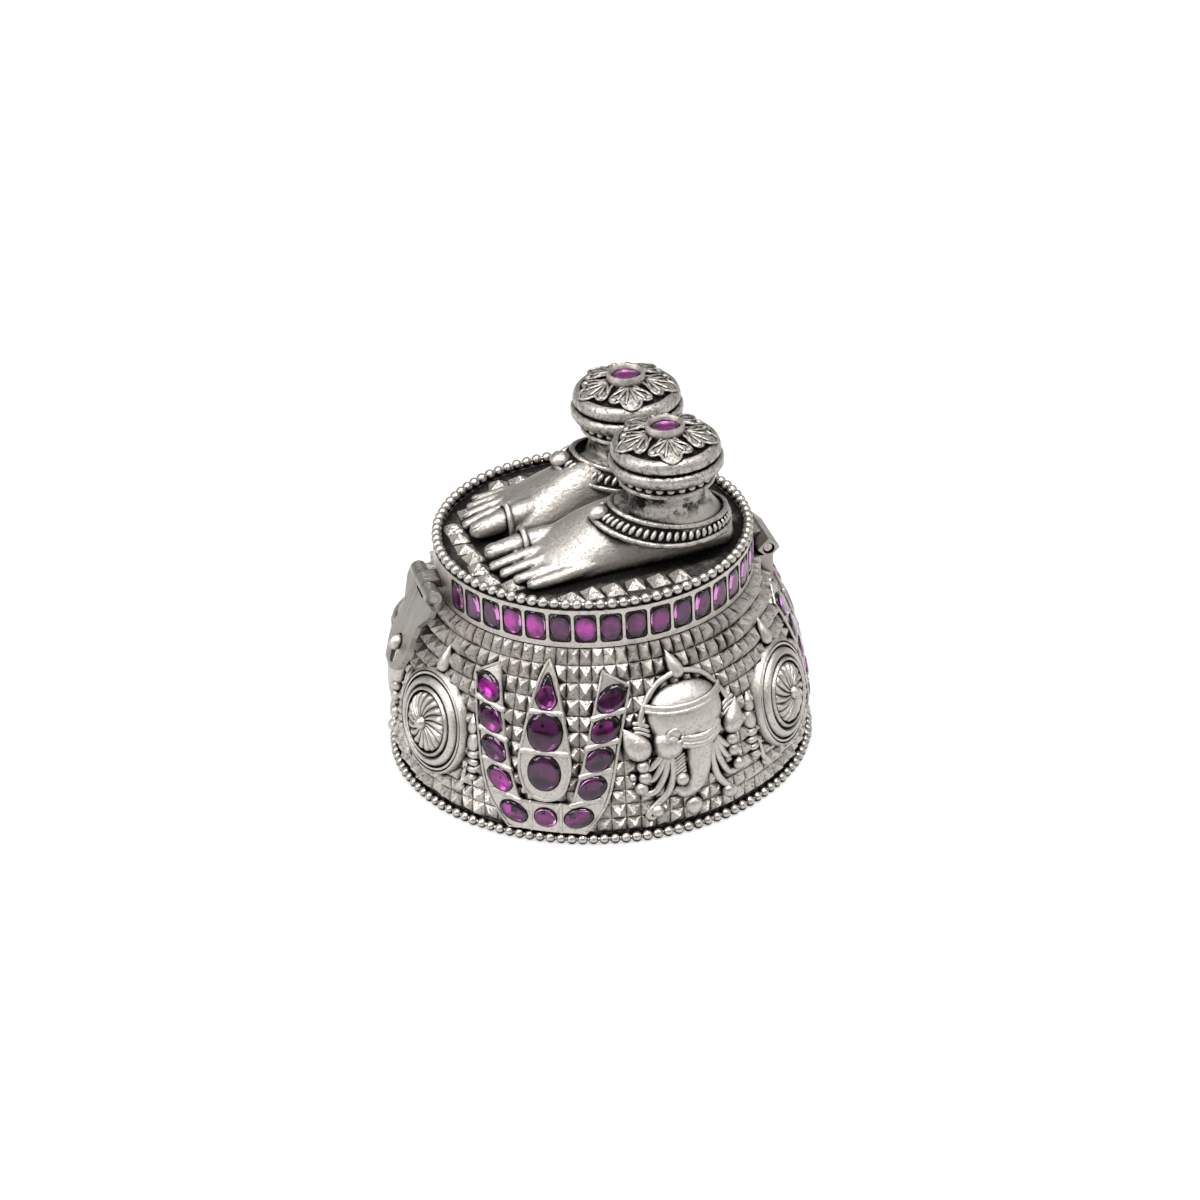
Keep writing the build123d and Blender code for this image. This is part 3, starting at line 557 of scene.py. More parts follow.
def drumShell():
    columns, rows, rim = drum["columns"], drum["rows"], drum["rimHeight"]
    levels = [0.0] + [drum["firstRow"] + (rim - drum["firstRow"]) * r / rows for r in range(rows + 1)]
    profile = [(wallRadius(z), z) for z in levels]
    innerRim = drum["rimRadius"] - drum["wall"]
    profile += [(innerRim, rim), (innerRim, rim - drum["rimLand"])]
    profile += [(wallRadius(z) - drum["wall"], z) for z in drum["insideLevels"]]
    verts, studded, rises = [], [], []
    for r, (radius, z) in enumerate(profile):
        middle = (z + profile[(r + 1) % len(profile)][1]) / 2
        for c in range(columns):
            a = 2 * math.pi * c / columns
            verts.append((radius * math.sin(a) * mm, -radius * math.cos(a) * mm, z * mm))
            studded.append(1 <= r <= rows)
            rises.append(studRise(360 * (c + 0.5) / columns, middle) * mm)
    mesh = bpy.data.meshes.new("bodyDrum")
    mesh.from_pydata(verts, [], ringFaces(len(profile), columns, True))
    for name, kind, values in (("studded", "BOOLEAN", studded), ("studRise", "FLOAT", rises)):
        mesh.attributes.new(name, kind, "FACE").data.foreach_set("value", values)
    return mesh


def studTree():
    tree, given, result = newGeometryTree("wallStuds", {"Share": "Float", "Tip": "Float", "Jitter": "Float",
                                                        "Seed": "Int"})
    normal = newNode(tree, "GeometryNodeInputNormal").outputs[0]
    lean = stray(tree, (-1, -1, -1), (1, 1, 1), given["Seed"])
    lean = vectorMath(tree, "SCALE", {0: lean, "Scale": given["Jitter"]})[0]
    way = vectorMath(tree, "ADD", {0: normal, 1: lean})[0]
    tall = math2(tree, "MULTIPLY", namedValue(tree, "studRise", "FLOAT"), given["Share"])
    raised = newNode(tree, "GeometryNodeExtrudeMesh",
                     {"Mesh": given["Geometry"], "Selection": namedValue(tree, "studded", "BOOLEAN"),
                      "Offset": way, "Offset Scale": tall, "Individual": True}, mode="FACES").outputs
    pointed = newNode(tree, "GeometryNodeScaleElements",
                      {"Geometry": raised["Mesh"], "Selection": raised["Top"],
                                                          "Scale": given["Tip"]}, domain="FACE")
    low = newNode(tree, "FunctionNodeBooleanMath", {0: raised["Side"], 1: raised["Top"]}, operation="NIMPLY")
    high = newNode(tree, "FunctionNodeBooleanMath", {0: low.outputs[0]}, operation="NOT")
    endTree(tree, given, result, storeRise(tree, pointed.outputs[0], high.outputs[0]))
    return tree


bodyDrum = runTree("bodyDrum", drumShell(), studTree(),
                   {"Share": 1.0, "Tip": drum["studTip"], "Jitter": drum["studJitter"], "Seed": drum["seed"],
                    "Material": drumSilver})
finishPiece(bodyDrum, "body", ["body_drum"], 20.0)
print("drum made:", len(bodyDrum.data.polygons), "faces")

# Beaded wires round the base and the lid

baseBeads = {"count": 124, "radius": 29.32, "height": 0.77, "bead": 0.74, "wire": 0.30, "seed": 3}
lidBeads = {"count": 87, "radius": 21.65, "height": 33.38, "bead": 0.75, "wire": 0.28, "seed": 8}


def beadTree():
    tree, given, result = newGeometryTree("beadedWire",
                                          {"Count": "Int", "Radius": "Float", "Height": "Float",
                                                         "Bead": "Float", "Wire": "Float", "Seed": "Int"})
    ring = newNode(tree, "GeometryNodeMeshCircle", {"Vertices": given["Count"], "Radius": given["Radius"]})
    bead = newNode(tree, "GeometryNodeMeshUVSphere", {"Segments": 14, "Rings": 9, "Radius": given["Bead"]})
    size = newNode(tree, "FunctionNodeRandomValue", {2: 0.93, 3: 1.04, "Seed": given["Seed"]},
                   data_type="FLOAT")
    many = newNode(tree, "GeometryNodeInstanceOnPoints",
                   {"Points": ring.outputs[0], "Instance": bead.outputs[0],
                                                          "Scale": size.outputs[1]})
    core = newNode(tree, "GeometryNodeCurvePrimitiveCircle", {"Resolution": 180, "Radius": given["Radius"]})
    section = newNode(tree, "GeometryNodeCurvePrimitiveCircle", {"Resolution": 8, "Radius": given["Wire"]})
    wire = newNode(tree, "GeometryNodeCurveToMesh", {"Curve": core.outputs[0],
                                                     "Profile Curve": section.outputs[0]})
    both = newNode(tree, "GeometryNodeJoinGeometry")
    for made in (many, wire):
        feed(tree, both.inputs[0], made.outputs[0])
    up = newNode(tree, "ShaderNodeCombineXYZ", {"Z": given["Height"]})
    lifted = newNode(tree, "GeometryNodeTransform", {"Geometry": both.outputs[0],
                                                     "Translation": up.outputs[0]})
    endTree(tree, given, result, lifted.outputs[0])
    return tree


beadNodes = beadTree()


def beadedWire(name, sizes, body, node):
    values = {"Count": sizes["count"], "Radius": sizes["radius"] * mm, "Height": sizes["height"] * mm,
              "Bead": sizes["bead"] * mm, "Wire": sizes["wire"] * mm, "Seed": sizes["seed"],
              "Material": beadSilver}
    piece = runTree(name, bpy.data.meshes.new(name), beadNodes, values)
    return finishPiece(piece, body, [node], 60.0)


beadedWire("baseBeadWire", baseBeads, "body", "base_bead_wire")
beadedWire("lidBeadWire", lidBeads, "lid", "lid_bead_wire")
print("beads made")

# Lid plate: spaced pyramids on a blackened ground; none where the feet stand, worn lower in front of the toes

lidPlate = {"radius": 21.04, "low": 31.75, "top": 32.65, "pitch": 3.08, "base": 2.95,
            "height": 1.45, "keep": 18.7, "turn": 3.0, "forward": 0.8, "across": 16, "stray": 0.25,
            "twist": 0.25, "seed": 11, "smallest": (0.86, 0.86, 0.75), "largest": (1.06, 1.06, 1.10),
            "wornFrom": -16.0, "wornTo": -4.0, "wornShare": 0.72,
            "covered": ((15.2, -12.4, 16.0), (9.0, -16.0, -12.3))}


def lidStudTree():
    tree, given, result = newGeometryTree("lidStuds", {"Pitch": "Float", "Base": "Float", "Height": "Float",
                                                       "Keep": "Float", "Seed": "Int"})
    across, off, twist = lidPlate["across"], lidPlate["stray"] * mm, lidPlate["twist"]
    span = math2(tree, "MULTIPLY", given["Pitch"], across - 1.0)
    grid = newNode(tree, "GeometryNodeMeshGrid", {"Size X": span, "Size Y": span, "Vertices X": across,
                                                  "Vertices Y": across})
    place = newNode(tree, "GeometryNodeInputPosition").outputs[0]
    split = apart(tree, place)
    far = vectorMath(tree, "LENGTH", {0: place})["Value"]
    gone = math2(tree, "GREATER_THAN", far, given["Keep"])
    for half, front, back in lidPlate["covered"]:
        wide = math2(tree, "LESS_THAN", math2(tree, "ABSOLUTE", split["X"]), half * mm)
        long = math2(tree, "MULTIPLY", math2(tree, "GREATER_THAN", split["Y"], front * mm),
                     math2(tree, "LESS_THAN", split["Y"], back * mm))
        gone = math2(tree, "MAXIMUM", gone, math2(tree, "MULTIPLY", wide, long))
    kept = newNode(tree, "GeometryNodeDeleteGeometry", {"Geometry": grid.outputs[0], "Selection": gone},
                   domain="POINT")
    moved = newNode(tree, "GeometryNodeSetPosition",
                    {"Geometry": kept.outputs[0],
                     "Offset": stray(tree, (-off, -off, 0), (off, off, 0), given["Seed"])})
    stud = newNode(tree, "GeometryNodeMeshCone",
                   {"Vertices": 4, "Side Segments": 1, "Depth": given["Height"],
                    "Radius Bottom": math2(tree, "MULTIPLY", given["Base"], 0.7071),
                    "Radius Top": math2(tree, "MULTIPLY", given["Base"], 0.05)}, fill_type="TRIANGLE_FAN")
    worn = mapRange(tree, split["Y"], lidPlate["wornFrom"] * mm, lidPlate["wornTo"] * mm,
                    lidPlate["wornShare"], 1.0)
    low = newNode(tree, "ShaderNodeCombineXYZ", {"X": 1.0, "Y": 1.0, "Z": worn}).outputs[0]
    size = stray(tree, lidPlate["smallest"], lidPlate["largest"], given["Seed"])
    size = vectorMath(tree, "MULTIPLY", {0: size, 1: low})[0]
    tall = math2(tree, "DIVIDE", split["Z"], given["Height"])
    turn = stray(tree, (0, 0, math.pi / 4 - twist), (0, 0, math.pi / 4 + twist))
    many = newNode(tree, "GeometryNodeInstanceOnPoints",
                   {"Points": moved.outputs[0], "Instance": storeRise(tree, stud.outputs[0], tall),
                    "Scale": size, "Rotation": turn})
    endTree(tree, given, result, many.outputs[0])
    return tree


def makeLidPlate():
    studs = runTree("lidStuds", bpy.data.meshes.new("lidStuds"), lidStudTree(),
                    {"Pitch": lidPlate["pitch"] * mm, "Base": lidPlate["base"] * mm,
                     "Height": lidPlate["height"] * mm, "Keep": lidPlate["keep"] * mm,
                     "Seed": lidPlate["seed"], "Material": wornSilver})
    studs.data.transform(Matrix.Translation((0, -lidPlate["forward"] * mm, lidPlate["top"] * mm - 0.00002)) @
                         Matrix.Rotation(math.radians(lidPlate["turn"]), 4, "Z"))
    finishPiece(studs, "lid", (), 20.0)
    low, top, radius = lidPlate["low"], lidPlate["top"], lidPlate["radius"]
    disc = turned([(0, low), (radius - 0.2, low), (radius, low + 0.2), (radius, top - 0.15),
                   (radius - 0.15, top), (14, top), (7, top), (0, top)], 96)
    plate = makePiece("lidPlate", [(*disc, groundSilver)], "lid", ["lid_plate"])
    plate.data.materials.append(insideSilver)
    for face in plate.data.polygons:
        face.material_index = int(face.normal.z < -0.5)


makeLidPlate()
print("lid plate made")

# Stones: a low glass dome over a faceted foil

stone = {"dome": 0.45, "depth": 0.36, "facets": 10, "foilGap": 0.03, "table": 0.45, "girdle": 0.06,
         "crown": ((0.965, 0.45), (0.88, 0.74), (0.74, 0.93), (0.50, 1.0))}


def roundedOutline(halfX, halfZ, tiltDeg, fullness, count):
    tilt = math.radians(tiltDeg)
    line = []
    for i in range(count):
        a = 2 * math.pi * i / count
        x, z = (half * math.copysign(abs(c) ** (2 / fullness), c)
                for half, c in ((halfX, math.cos(a)), (halfZ, math.sin(a))))
        line.append((x * math.cos(tilt) - z * math.sin(tilt), x * math.sin(tilt) + z * math.cos(tilt)))
    return line


# A ring of points for each (share, lift) level, closed to a point at the ends given as (lift, level)
def stoneRings(place, line, levels, ends=()):
    verts = [place(x * share, z * share, lift) for share, lift in levels for x, z in line]
    many = len(line)
    faces = ringFaces(len(levels), many)
    for end, row in ends:
        verts.append(place(0, 0, end))
        for k in range(many):
            faces.append((row * many + k, row * many + (k + 1) % many, len(verts) - 1))
    return verts, faces


# Black filling between a cell's edge and the stone in it
def bedRing(place, outer, inner, low, top):
    rows = ((outer, low), (outer, top), (inner, top), (inner, low))
    return [place(x, z, lift) for line, lift in rows for x, z in line], ringFaces(4, len(outer), True)


# place(x, z, lift) gives the point; lift 0 is the setting's top
# shade is painted light: it picks the lit (0), half-shaded (1) or shaded (2) copy of the foil
def stoneParts(place, line, dome=stone["dome"], depth=stone["depth"], sunk=0.0, shade=0, pad=1.10):
    low, gap, table, girdle = -sunk, stone["foilGap"], stone["table"], stone["girdle"]
    back = low - depth
    levels = [(table, back), (1.0, low - girdle), (1.0, low + girdle)]
    levels += [(share, low + rise * dome) for share, rise in stone["crown"]]
    glass = stoneRings(place, line, levels, [(back, 0), (low + dome, len(levels) - 1)])
    facets = line[::max(1, len(line) // stone["facets"])]
    foil = stoneRings(place, facets, [(table, back - gap), (1.03, low - girdle - gap)], [(back - gap, 0)])
    parts = [(*glass, stoneGlass), (*foil, stoneFoils[shade])]
    if pad:
        levels = [(0.9, low - 0.25), (pad, low - 0.25), (pad, low + 0.03), (0.985, low + 0.035)]
        parts.append((*stoneRings(place, line, levels), settingBlack))
    return parts


# Tilak ornaments: plates from the frame, raised edges, cross bars and stones.
# Arm stones: place, half sizes, tilt, and on the right and the left a painted light level that picks a lit,
# half-shaded or shaded foil

tilak = {"axes": (60, 180, 300), "plate": 1.0, "flame": 1.3, "edge": 0.22, "edgeSunk": 0.05,
         "flameEdge": 1.15, "flameSunk": 0.06, "bar": 0.50, "barHalf": 1.85, "barLean": 0.45,
         "barSunk": (0.12, 0.30), "saddleSunk": (0.15, 0.32), "middleSunk": 0.25, "middleShare": 0.8,
         "outer": ((5.3, 1.85), (8.2, 6.9), (9.5, 14.5), (10.4, 22.4)),
         "inner": ((6.95, 24.3), (5.35, 13.2), (3.6, 6.15)),
         "flameSide": ((0.0, 25.9), (1.5, 22.0), (3.35, 13.2), (2.95, 9.3), (1.7, 7.45), (0.0, 6.95)),
         "arm": ((8.35, 20.6, 1.95, 1.58, 40, 2, 0), (7.75, 16.75, 2.0, 1.60, 40, 1, 1),
                 (7.15, 12.85, 1.95, 1.52, 40, 2, 2), (6.3, 8.85, 1.95, 1.52, 40, 2, 0),
                 (4.45, 4.3, 1.98, 1.46, 25, 1, 0)),
         # The last number of the middle and flame stones is the painted light level of their foil
         "middle": (0.0, 4.1, 1.52, 1.46, 0, 1), "middleBar": (2.05, 2.0, 6.0),
         "dot": (-3.0, 7.6, 0.5, 0.55),
         "flameStones": ((0.0, 16.3, 2.3, 2.6, 0, 2), (0.0, 10.8, 2.15, 2.45, 0, 2)),
         "flameDrop": (20.6, 1.4, 4.4), "saddles": ((18.85, 2.0), (13.55, 3.0))}


def tilakStones(axis, rise, entries):
    parts = []
    for x, z, halfX, halfZ, tilt, shade in entries:
        def place(dx, dz, lift, x=x, z=z):
            return wallPoint(axis, x + dx, z + dz, rise + lift)
        parts += stoneParts(place, roundedOutline(halfX, halfZ, tilt, 2.1, 30), shade=shade, pad=1.07)
    return parts


# Outline of the flame's top stone, round below and drawn to a tip
def dropOutline(radius, length, points=15):
    line = []
    for i in range(points):
        a = 2 * math.pi * i / points
        across = radius * math.sin(a) * (1 - 0.35 * max(math.cos(a), 0))
        along = radius * math.cos(a) if math.cos(a) < 0 else (length - radius) * math.cos(a) ** 1.6
        line.append((across, along))
    return smoothLine(line, 2, True)


# Wire along the edge of a plate whose right half is given
def plateEdge(axis, half, other, lift, radius):
    loop = half + [(-x, z) for x, z in reversed(other)]
    return tube([platePoint(axis, x, z, lift) for x, z in loop], [radius] * len(loop), 8, True)


def tilakOrnament(number, axis):
    plate, flame, edge, bar = tilak["plate"], tilak["flame"], tilak["edge"], tilak["bar"]
    reach, lean = tilak["barHalf"], tilak["barLean"]
    half = smoothLine(tilak["outer"], 10) + smoothLine(tilak["inner"], 12)
    rails = [plateEdge(axis, half, half, plate - tilak["edgeSunk"], edge)]
    for side in (1, -1):
        for first, second in zip(tilak["arm"], tilak["arm"][1:]):
            x, z = (first[0] + second[0]) / 2, (first[1] + second[1]) / 2
            high, low = (plate - sunk for sunk in tilak["barSunk"])
            ends = [(side * (x - reach), z - lean, high), (side * x, z, low),
                    (side * (x + reach), z + lean, high)]
            rails.append(liftedTube(axis, ends, bar, None, 10, 4))
        x, low, high = tilak["middleBar"]
        rails.append(wallTube(axis, [(side * x, low), (side * x, high)], bar * tilak["middleShare"],
                              plate - tilak["middleSunk"]))
    makePiece(f"tilakEdges{number}", painted(rails, plateSilver), "body")
    half = smoothLine(tilak["flameSide"], 12)
    rails = [plateEdge(axis, half, half[1:-1], flame - tilak["flameSunk"], edge * tilak["flameEdge"])]
    for z, reach in tilak["saddles"]:
        high, low = (flame - sunk for sunk in tilak["saddleSunk"])
        rails.append(liftedTube(axis, [(-reach, z, high), (0, z, low), (reach, z, high)], bar, None, 10, 4))
    rails.append(wallBall(axis, *tilak["dot"]))
    makePiece(f"tilakFlameEdge{number}", painted(rails, plateSilver), "body")
    arms = [(side * x, z, a, b, side * tilt, right if side > 0 else left)
            for x, z, a, b, tilt, right, left in tilak["arm"] for side in (1, -1)]
    makePiece(f"tilakFrameStones{number}", tilakStones(axis, plate, [*arms, tilak["middle"]]), "body",
              [f"tilak_frame_stones_{number}"])
    height, radius, length = tilak["flameDrop"]

    def place(dx, dz, lift):
        return wallPoint(axis, dx, height + dz, flame + lift)
    drop = stoneParts(place, dropOutline(radius, length), shade=1)
    makePiece(f"tilakFlameStones{number}", tilakStones(axis, flame, tilak["flameStones"]) + drop, "body",
              [f"tilak_flame_stones_{number}"])


for number, axis in enumerate(tilak["axes"], 1):
    tilakOrnament(number, axis)
print("tilaks made")

# Wheel ornaments: stepped rings, a swirled rosette and tassels

wheel = {"axes": (20, 140, 260), "height": 12.5, "petals": 18, "swirl": 0.13,
         "petalStart": 0.75, "petalEnd": 4.28, "petalRows": 16, "boss": 0.95, "bossLift": 2.30,
         "topDrop": (0.15, 20.6, 1.0, 4.1, 4, 1.5),
         "rings": ((0.6, -0.8), (3.0, -0.9), (5.2, -1.15), (7.5, -1.5), (7.5, 0.35), (7.36, 0.64),
                   (7.16, 0.76), (7.02, 0.52), (6.88, 0.78), (6.62, 0.78), (6.46, 0.36), (6.30, 0.36),
                   (6.20, 0.98), (5.92, 1.32), (5.45, 1.42), (5.18, 1.22), (5.08, 0.84), (4.94, 0.84),
                   (4.86, 1.50), (4.66, 1.68), (4.48, 1.60), (4.38, 1.10)),
         "tassel": ((7.9, 14.6, 0.85, 1.0), (8.3, 12.6, 1.0, 1.45), (8.5, 10.85, 0.95, 0.62),
                    (8.65, 9.8, 0.9, 0.6), (8.6, 8.7, 0.85, 0.58), (8.5, 7.6, 0.75, 0.55)),
         "tasselDrops": ((7.9, 15.1, 0.6, 2.1, -20, 1.2), (6.5, 5.4, 0.75, 2.6, -150, 1.0)),
         "ribbon": ((7.6, 9.2), (7.2, 7.6), (7.0, 6.4), (6.3, 5.4), (5.9, 4.9)),
         "ribbonWire": (0.3, 0.5, 0.5), "tasselRise": 1.15}


# Height of the rosette over the wall
def petalLift(r, a):
    share = r / wheel["petalEnd"]
    wave = abs(math.cos(wheel["petals"] / 2 * (a + wheel["swirl"] * (r - 2))))
    ridge = wave ** 0.55 * (0.30 + 0.70 * share)
    end = max(0.0, (share - 0.78) / 0.22)
    return 1.02 + 0.95 * (1 - share ** 2) + 0.80 * ridge * math.sqrt(max(0.0, 1 - end ** 2.2))


def wheelDisc(axis):
    slope = wallSlope(wheel["height"])
    centre = wallPoint(0, 0, wheel["height"])
    up = Vector((0, math.sin(slope), math.cos(slope)))
    out = Vector((0, -math.cos(slope), math.sin(slope)))
    right = Vector((1, 0, 0))
    around = wheel["petals"] * 10
    first, last, steps = wheel["petalEnd"], wheel["petalStart"], wheel["petalRows"]
    profile = [*wheel["rings"], *[(first + (last - first) * s / steps, None) for s in range(steps + 1)]]
    verts = []
    for r, h in profile:
        for i in range(around):
            a = 2 * math.pi * i / around
            lift = petalLift(r, a) if h is None else h
            verts.append(centre + right * (r * math.cos(a)) + up * (r * math.sin(a)) + out * lift)
    boss = ball(centre + out * wheel["bossLift"], wheel["boss"], 20, 12)
    disc = verts, ringFaces(len(profile), around, ends=True)
    return [turnedAbout(disc, axis), turnedAbout(boss, axis)]


def wheelOrnament(number, axis):
    parts = wheelDisc(axis) + [wallDrop(axis, *wheel["topDrop"])]
    makePiece(f"wheel{number}", painted(parts, reliefSilver), "body", [f"wheel_{number}"], 42.0)
    parts = []
    for side in (1, -1):
        for x, z, halfX, halfZ in wheel["tassel"]:
            outline = roundedOutline(halfX, halfZ, 0, 2.1, 20)
            parts.append(pillow(axis, [(side * x + px, z + pz) for px, pz in outline], wheel["tasselRise"]))
        for x, z, radius, length, lean, rise in wheel["tasselDrops"]:
            parts.append(wallDrop(axis, side * x, z, radius, length, side * lean, rise))
        parts.append(wallTube(axis, [(side * x, z) for x, z in wheel["ribbon"]], *wheel["ribbonWire"]))
    makePiece(f"wheelTassels{number}", painted(parts, reliefSilver), "body",
              [f"wheel_tassels_{number}"], 50.0)


for number, axis in enumerate(wheel["axes"], 1):
    wheelOrnament(number, axis)
print("wheels made")

# Conch ornaments: blended shell and stem, arch of wire, drops and curled strands.
# Swellings and stem: place, lift, then half sizes or radius. Drops: place, radius, length, lean, rise

conch = {"axes": (100, 220, 340), "voxel": 0.15, "rounds": 5, "back": -0.7, "stemRise": 0.85,
         "swellings": ((0.65, 17.2, 0.1, 5.6, 4.2, 2.6), (-2.5, 13.7, 0.1, 2.2, 2.3, 2.35),
                       (2.4, 15.4, 0.1, 3.0, 2.2, 2.3)),
         "stemLift": 0.3, "stem": ((2.0, 13.4, 2.15), (1.75, 11.2, 1.95), (1.5, 9.3, 1.75), (1.05, 7.7, 1.5),
                                   (0.2, 6.6, 1.15), (-0.9, 6.25, 0.9), (-1.75, 6.9, 0.75)),
         "lip": ((-4.9, 18.9, 0.9), (-3.6, 18.55, 1.8), (-1.6, 18.3, 2.4), (1.0, 18.3, 2.68),
                 (3.6, 18.6, 2.3), (5.4, 19.0, 1.4), (6.1, 19.3, 0.7)), "lipWire": (0.36, 0.30),
         "collar": ((-1.0, 14.0, 1.5), (0.6, 13.65, 1.95), (2.6, 13.65, 1.9), (4.6, 14.5, 1.25)),
         "collarWire": (0.44, 0.60), "curl": (-1.75, 14.75, 2.02), "curlReach": (1.35, 0.055),
         "curlTurn": (250, 28), "curlRise": 0.02, "curlSteps": 13, "curlWire": (0.30, 0.22),
         "balls": ((-0.95, 14.55, 0.36, 2.2), (-1.25, 8.5, 0.95, 1.0)),
         "combs": 6, "comb": ((-2.2, 11.2), (-0.7, 12.0)), "combStep": 0.5, "combWire": (0.24, 0.85),
         "arches": (((0.3, 22.6), (-0.9, 22.4), (-3.0, 21.5), (-4.8, 19.5), (-5.7, 17.8), (-5.9, 16.9)),
                    ((0.7, 22.6), (1.9, 22.4), (4.0, 21.5), (5.7, 19.5), (6.8, 17.6), (7.0, 16.9))),
         "drops": ((0.45, 22.7, 1.02, 4.1, -20, 1.5), (0.35, 3.9, 1.25, 3.3, 180, 1.5),
                   (-6.6, 13.8, 1.75, 5.2, -30, 2.1), (7.2, 13.8, 1.5, 4.9, 20, 2.1)),
         "wraps": ((-5.85, -0.3), (6.95, 0.3)), "wrapTop": 16.9, "wrapStep": 0.62, "wrapHalf": 0.8,
         "wrapBow": 0.12, "wrapWire": (0.30, 0.85), "archWire": (0.42, 0.75),
         "strands": (((-3.5, 12.4), (-4.5, 11.4), (-5.5, 10.7), (-6.3, 11.2)),
                     ((-3.2, 12.2), (-4.2, 10.3), (-5.3, 9.1), (-6.2, 9.6)),
                     ((-2.9, 12.0), (-3.5, 9.6), (-4.9, 7.4), (-6.2, 7.2), (-6.8, 8.1)),
                     ((-2.4, 11.9), (-2.3, 9.5), (-3.2, 7.0), (-5.0, 5.2), (-6.1, 3.9), (-5.4, 3.4),
                      (-4.9, 4.4)),
                     ((4.6, 12.6), (5.4, 11.6), (6.2, 11.0), (6.9, 11.6)),
                     ((4.4, 12.4), (5.2, 10.6), (6.1, 9.4), (7.0, 10.0)),
                     ((4.1, 12.2), (4.6, 9.8), (5.8, 7.3), (7.0, 6.9), (7.6, 7.7)),
                     ((3.7, 12.0), (3.6, 9.6), (4.3, 7.0), (5.6, 5.2), (6.8, 4.0), (6.3, 3.4), (5.7, 4.3))),
         "strandWire": (0.62, 0.55, 0.44), "strandBall": (0.95, 0.7), "looseBall": (-7.75, 9.8, 0.55, 0.55)}


def onWall(part):
    return [wallPoint(0, *v) for v in part[0]], part[1]


# Skin of a conch at axis 0; nothing reaches through the wall behind it
def conchShell():
    parts = []
    for x, z, lift, halfX, halfZ, rise in conch["swellings"]:
        verts, faces = ball((0, 0, 0), 1.0, 36, 20)
        plump = []
        for v in verts:
            flat = math.hypot(v.x, v.y)
            grown = 1.0 if flat < 1e-6 else (abs(v.x / flat) ** 2.2 + abs(v.y / flat) ** 2.2) ** (-1 / 2.2)
            plump.append(Vector((x + halfX * v.x * grown, z + halfZ * v.y * grown,
                                 max(lift + rise * v.z, conch["back"]))))
        parts.append(onWall((plump, faces)))
    line = smoothLine(conch["stem"], 5)
    verts, faces = tube([(x, z, 0) for x, z, radius in line], [p[2] for p in line], 18)
    for v in verts:
        v.z = max(conch["stemLift"] + conch["stemRise"] * v.z, conch["back"])
    parts.append(onWall((verts, faces)))
    return blended("conchShell", parts, conch["voxel"], conch["rounds"])


conchSkin = conchShell()


def conchCurl():
    x, z, lift = conch["curl"]
    start, step = conch["curlTurn"]
    first, less = conch["curlReach"]
    curl = []
    for i in range(conch["curlSteps"]):
        a = math.radians(start - step * i)
        reach = first - less * i
        curl.append((x + reach * math.cos(a), z + reach * math.sin(a), lift + conch["curlRise"] * i))
    return curl


def conchOrnament(number, axis):
    shell = [turnedAbout(conchSkin, axis)]
    for name in ("lip", "collar"):
        gap, radius = conch[name + "Wire"]
        for shift, sunk in ((-gap, 0.0), (0.0, 0.12), (gap, 0.0)):
            line = [(x, z + shift, lift - sunk) for x, z, lift in conch[name]]
            shell.append(liftedTube(axis, line, radius))
    shell.append(liftedTube(axis, conchCurl(), *conch["curlWire"], 10, 3))
    shell += [wallBall(axis, *place) for place in conch["balls"]]
    for k in range(conch["combs"]):
        down = conch["combStep"] * k
        shell.append(wallTube(axis, [(x, z - down) for x, z in conch["comb"]], *conch["combWire"]))
    makePiece(f"conch{number}", painted(shell, reliefSilver), "body", [f"conch_{number}"], 60.0)
    garland = [wallTube(axis, arch, *conch["archWire"]) for arch in conch["arches"]]
    garland += [wallDrop(axis, *drop) for drop in conch["drops"]]
    half = conch["wrapHalf"]
    for x, lean in conch["wraps"]:
        for k in range(3):
            z = conch["wrapTop"] - conch["wrapStep"] * k
            wrap = [(x - half, z - lean), (x, z + conch["wrapBow"]), (x + half, z + lean)]
            garland.append(wallTube(axis, wrap, *conch["wrapWire"]))
    for strand in conch["strands"]:
        garland.append(wallTube(axis, strand, *conch["strandWire"]))
        garland.append(wallBall(axis, *strand[-1], *conch["strandBall"]))
    garland.append(wallBall(axis, *conch["looseBall"]))
    makePiece(f"conchGarland{number}", painted(garland, reliefSilver), "body",
              [f"conch_garland_{number}"], 60.0)


for number, axis in enumerate(conch["axes"], 1):
    conchOrnament(number, axis)
print("conches made")

# Stones in the lid band, three cells left bare at the hasp and at the hinge; the listed levels pick in turn a
# lit, half-shaded or shaded foil copy, as painted light

band = {"radius": 22.2, "cells": 40, "bare": (39, 0, 1, 19, 20, 21), "middle": 29.9,
        "halfX": 1.40, "halfZ": 2.02, "sunk": 0.14, "dome": 0.26, "depth": 0.30, "fullness": 2.2,
        "cellX": 1.54, "cellZ": 2.18, "cellFullness": 7.0, "bed": (-0.46, -0.13),
        "paintedLightLevels": (1, 2, 1, 2, 2, 0, 0, 2, 0, 1, 1, 1, 2, 2, 2, 2,
                   2, 2, 2, 1, 0, 1, 2, 1, 0, 2, 1, 1, 2, 0, 1)}


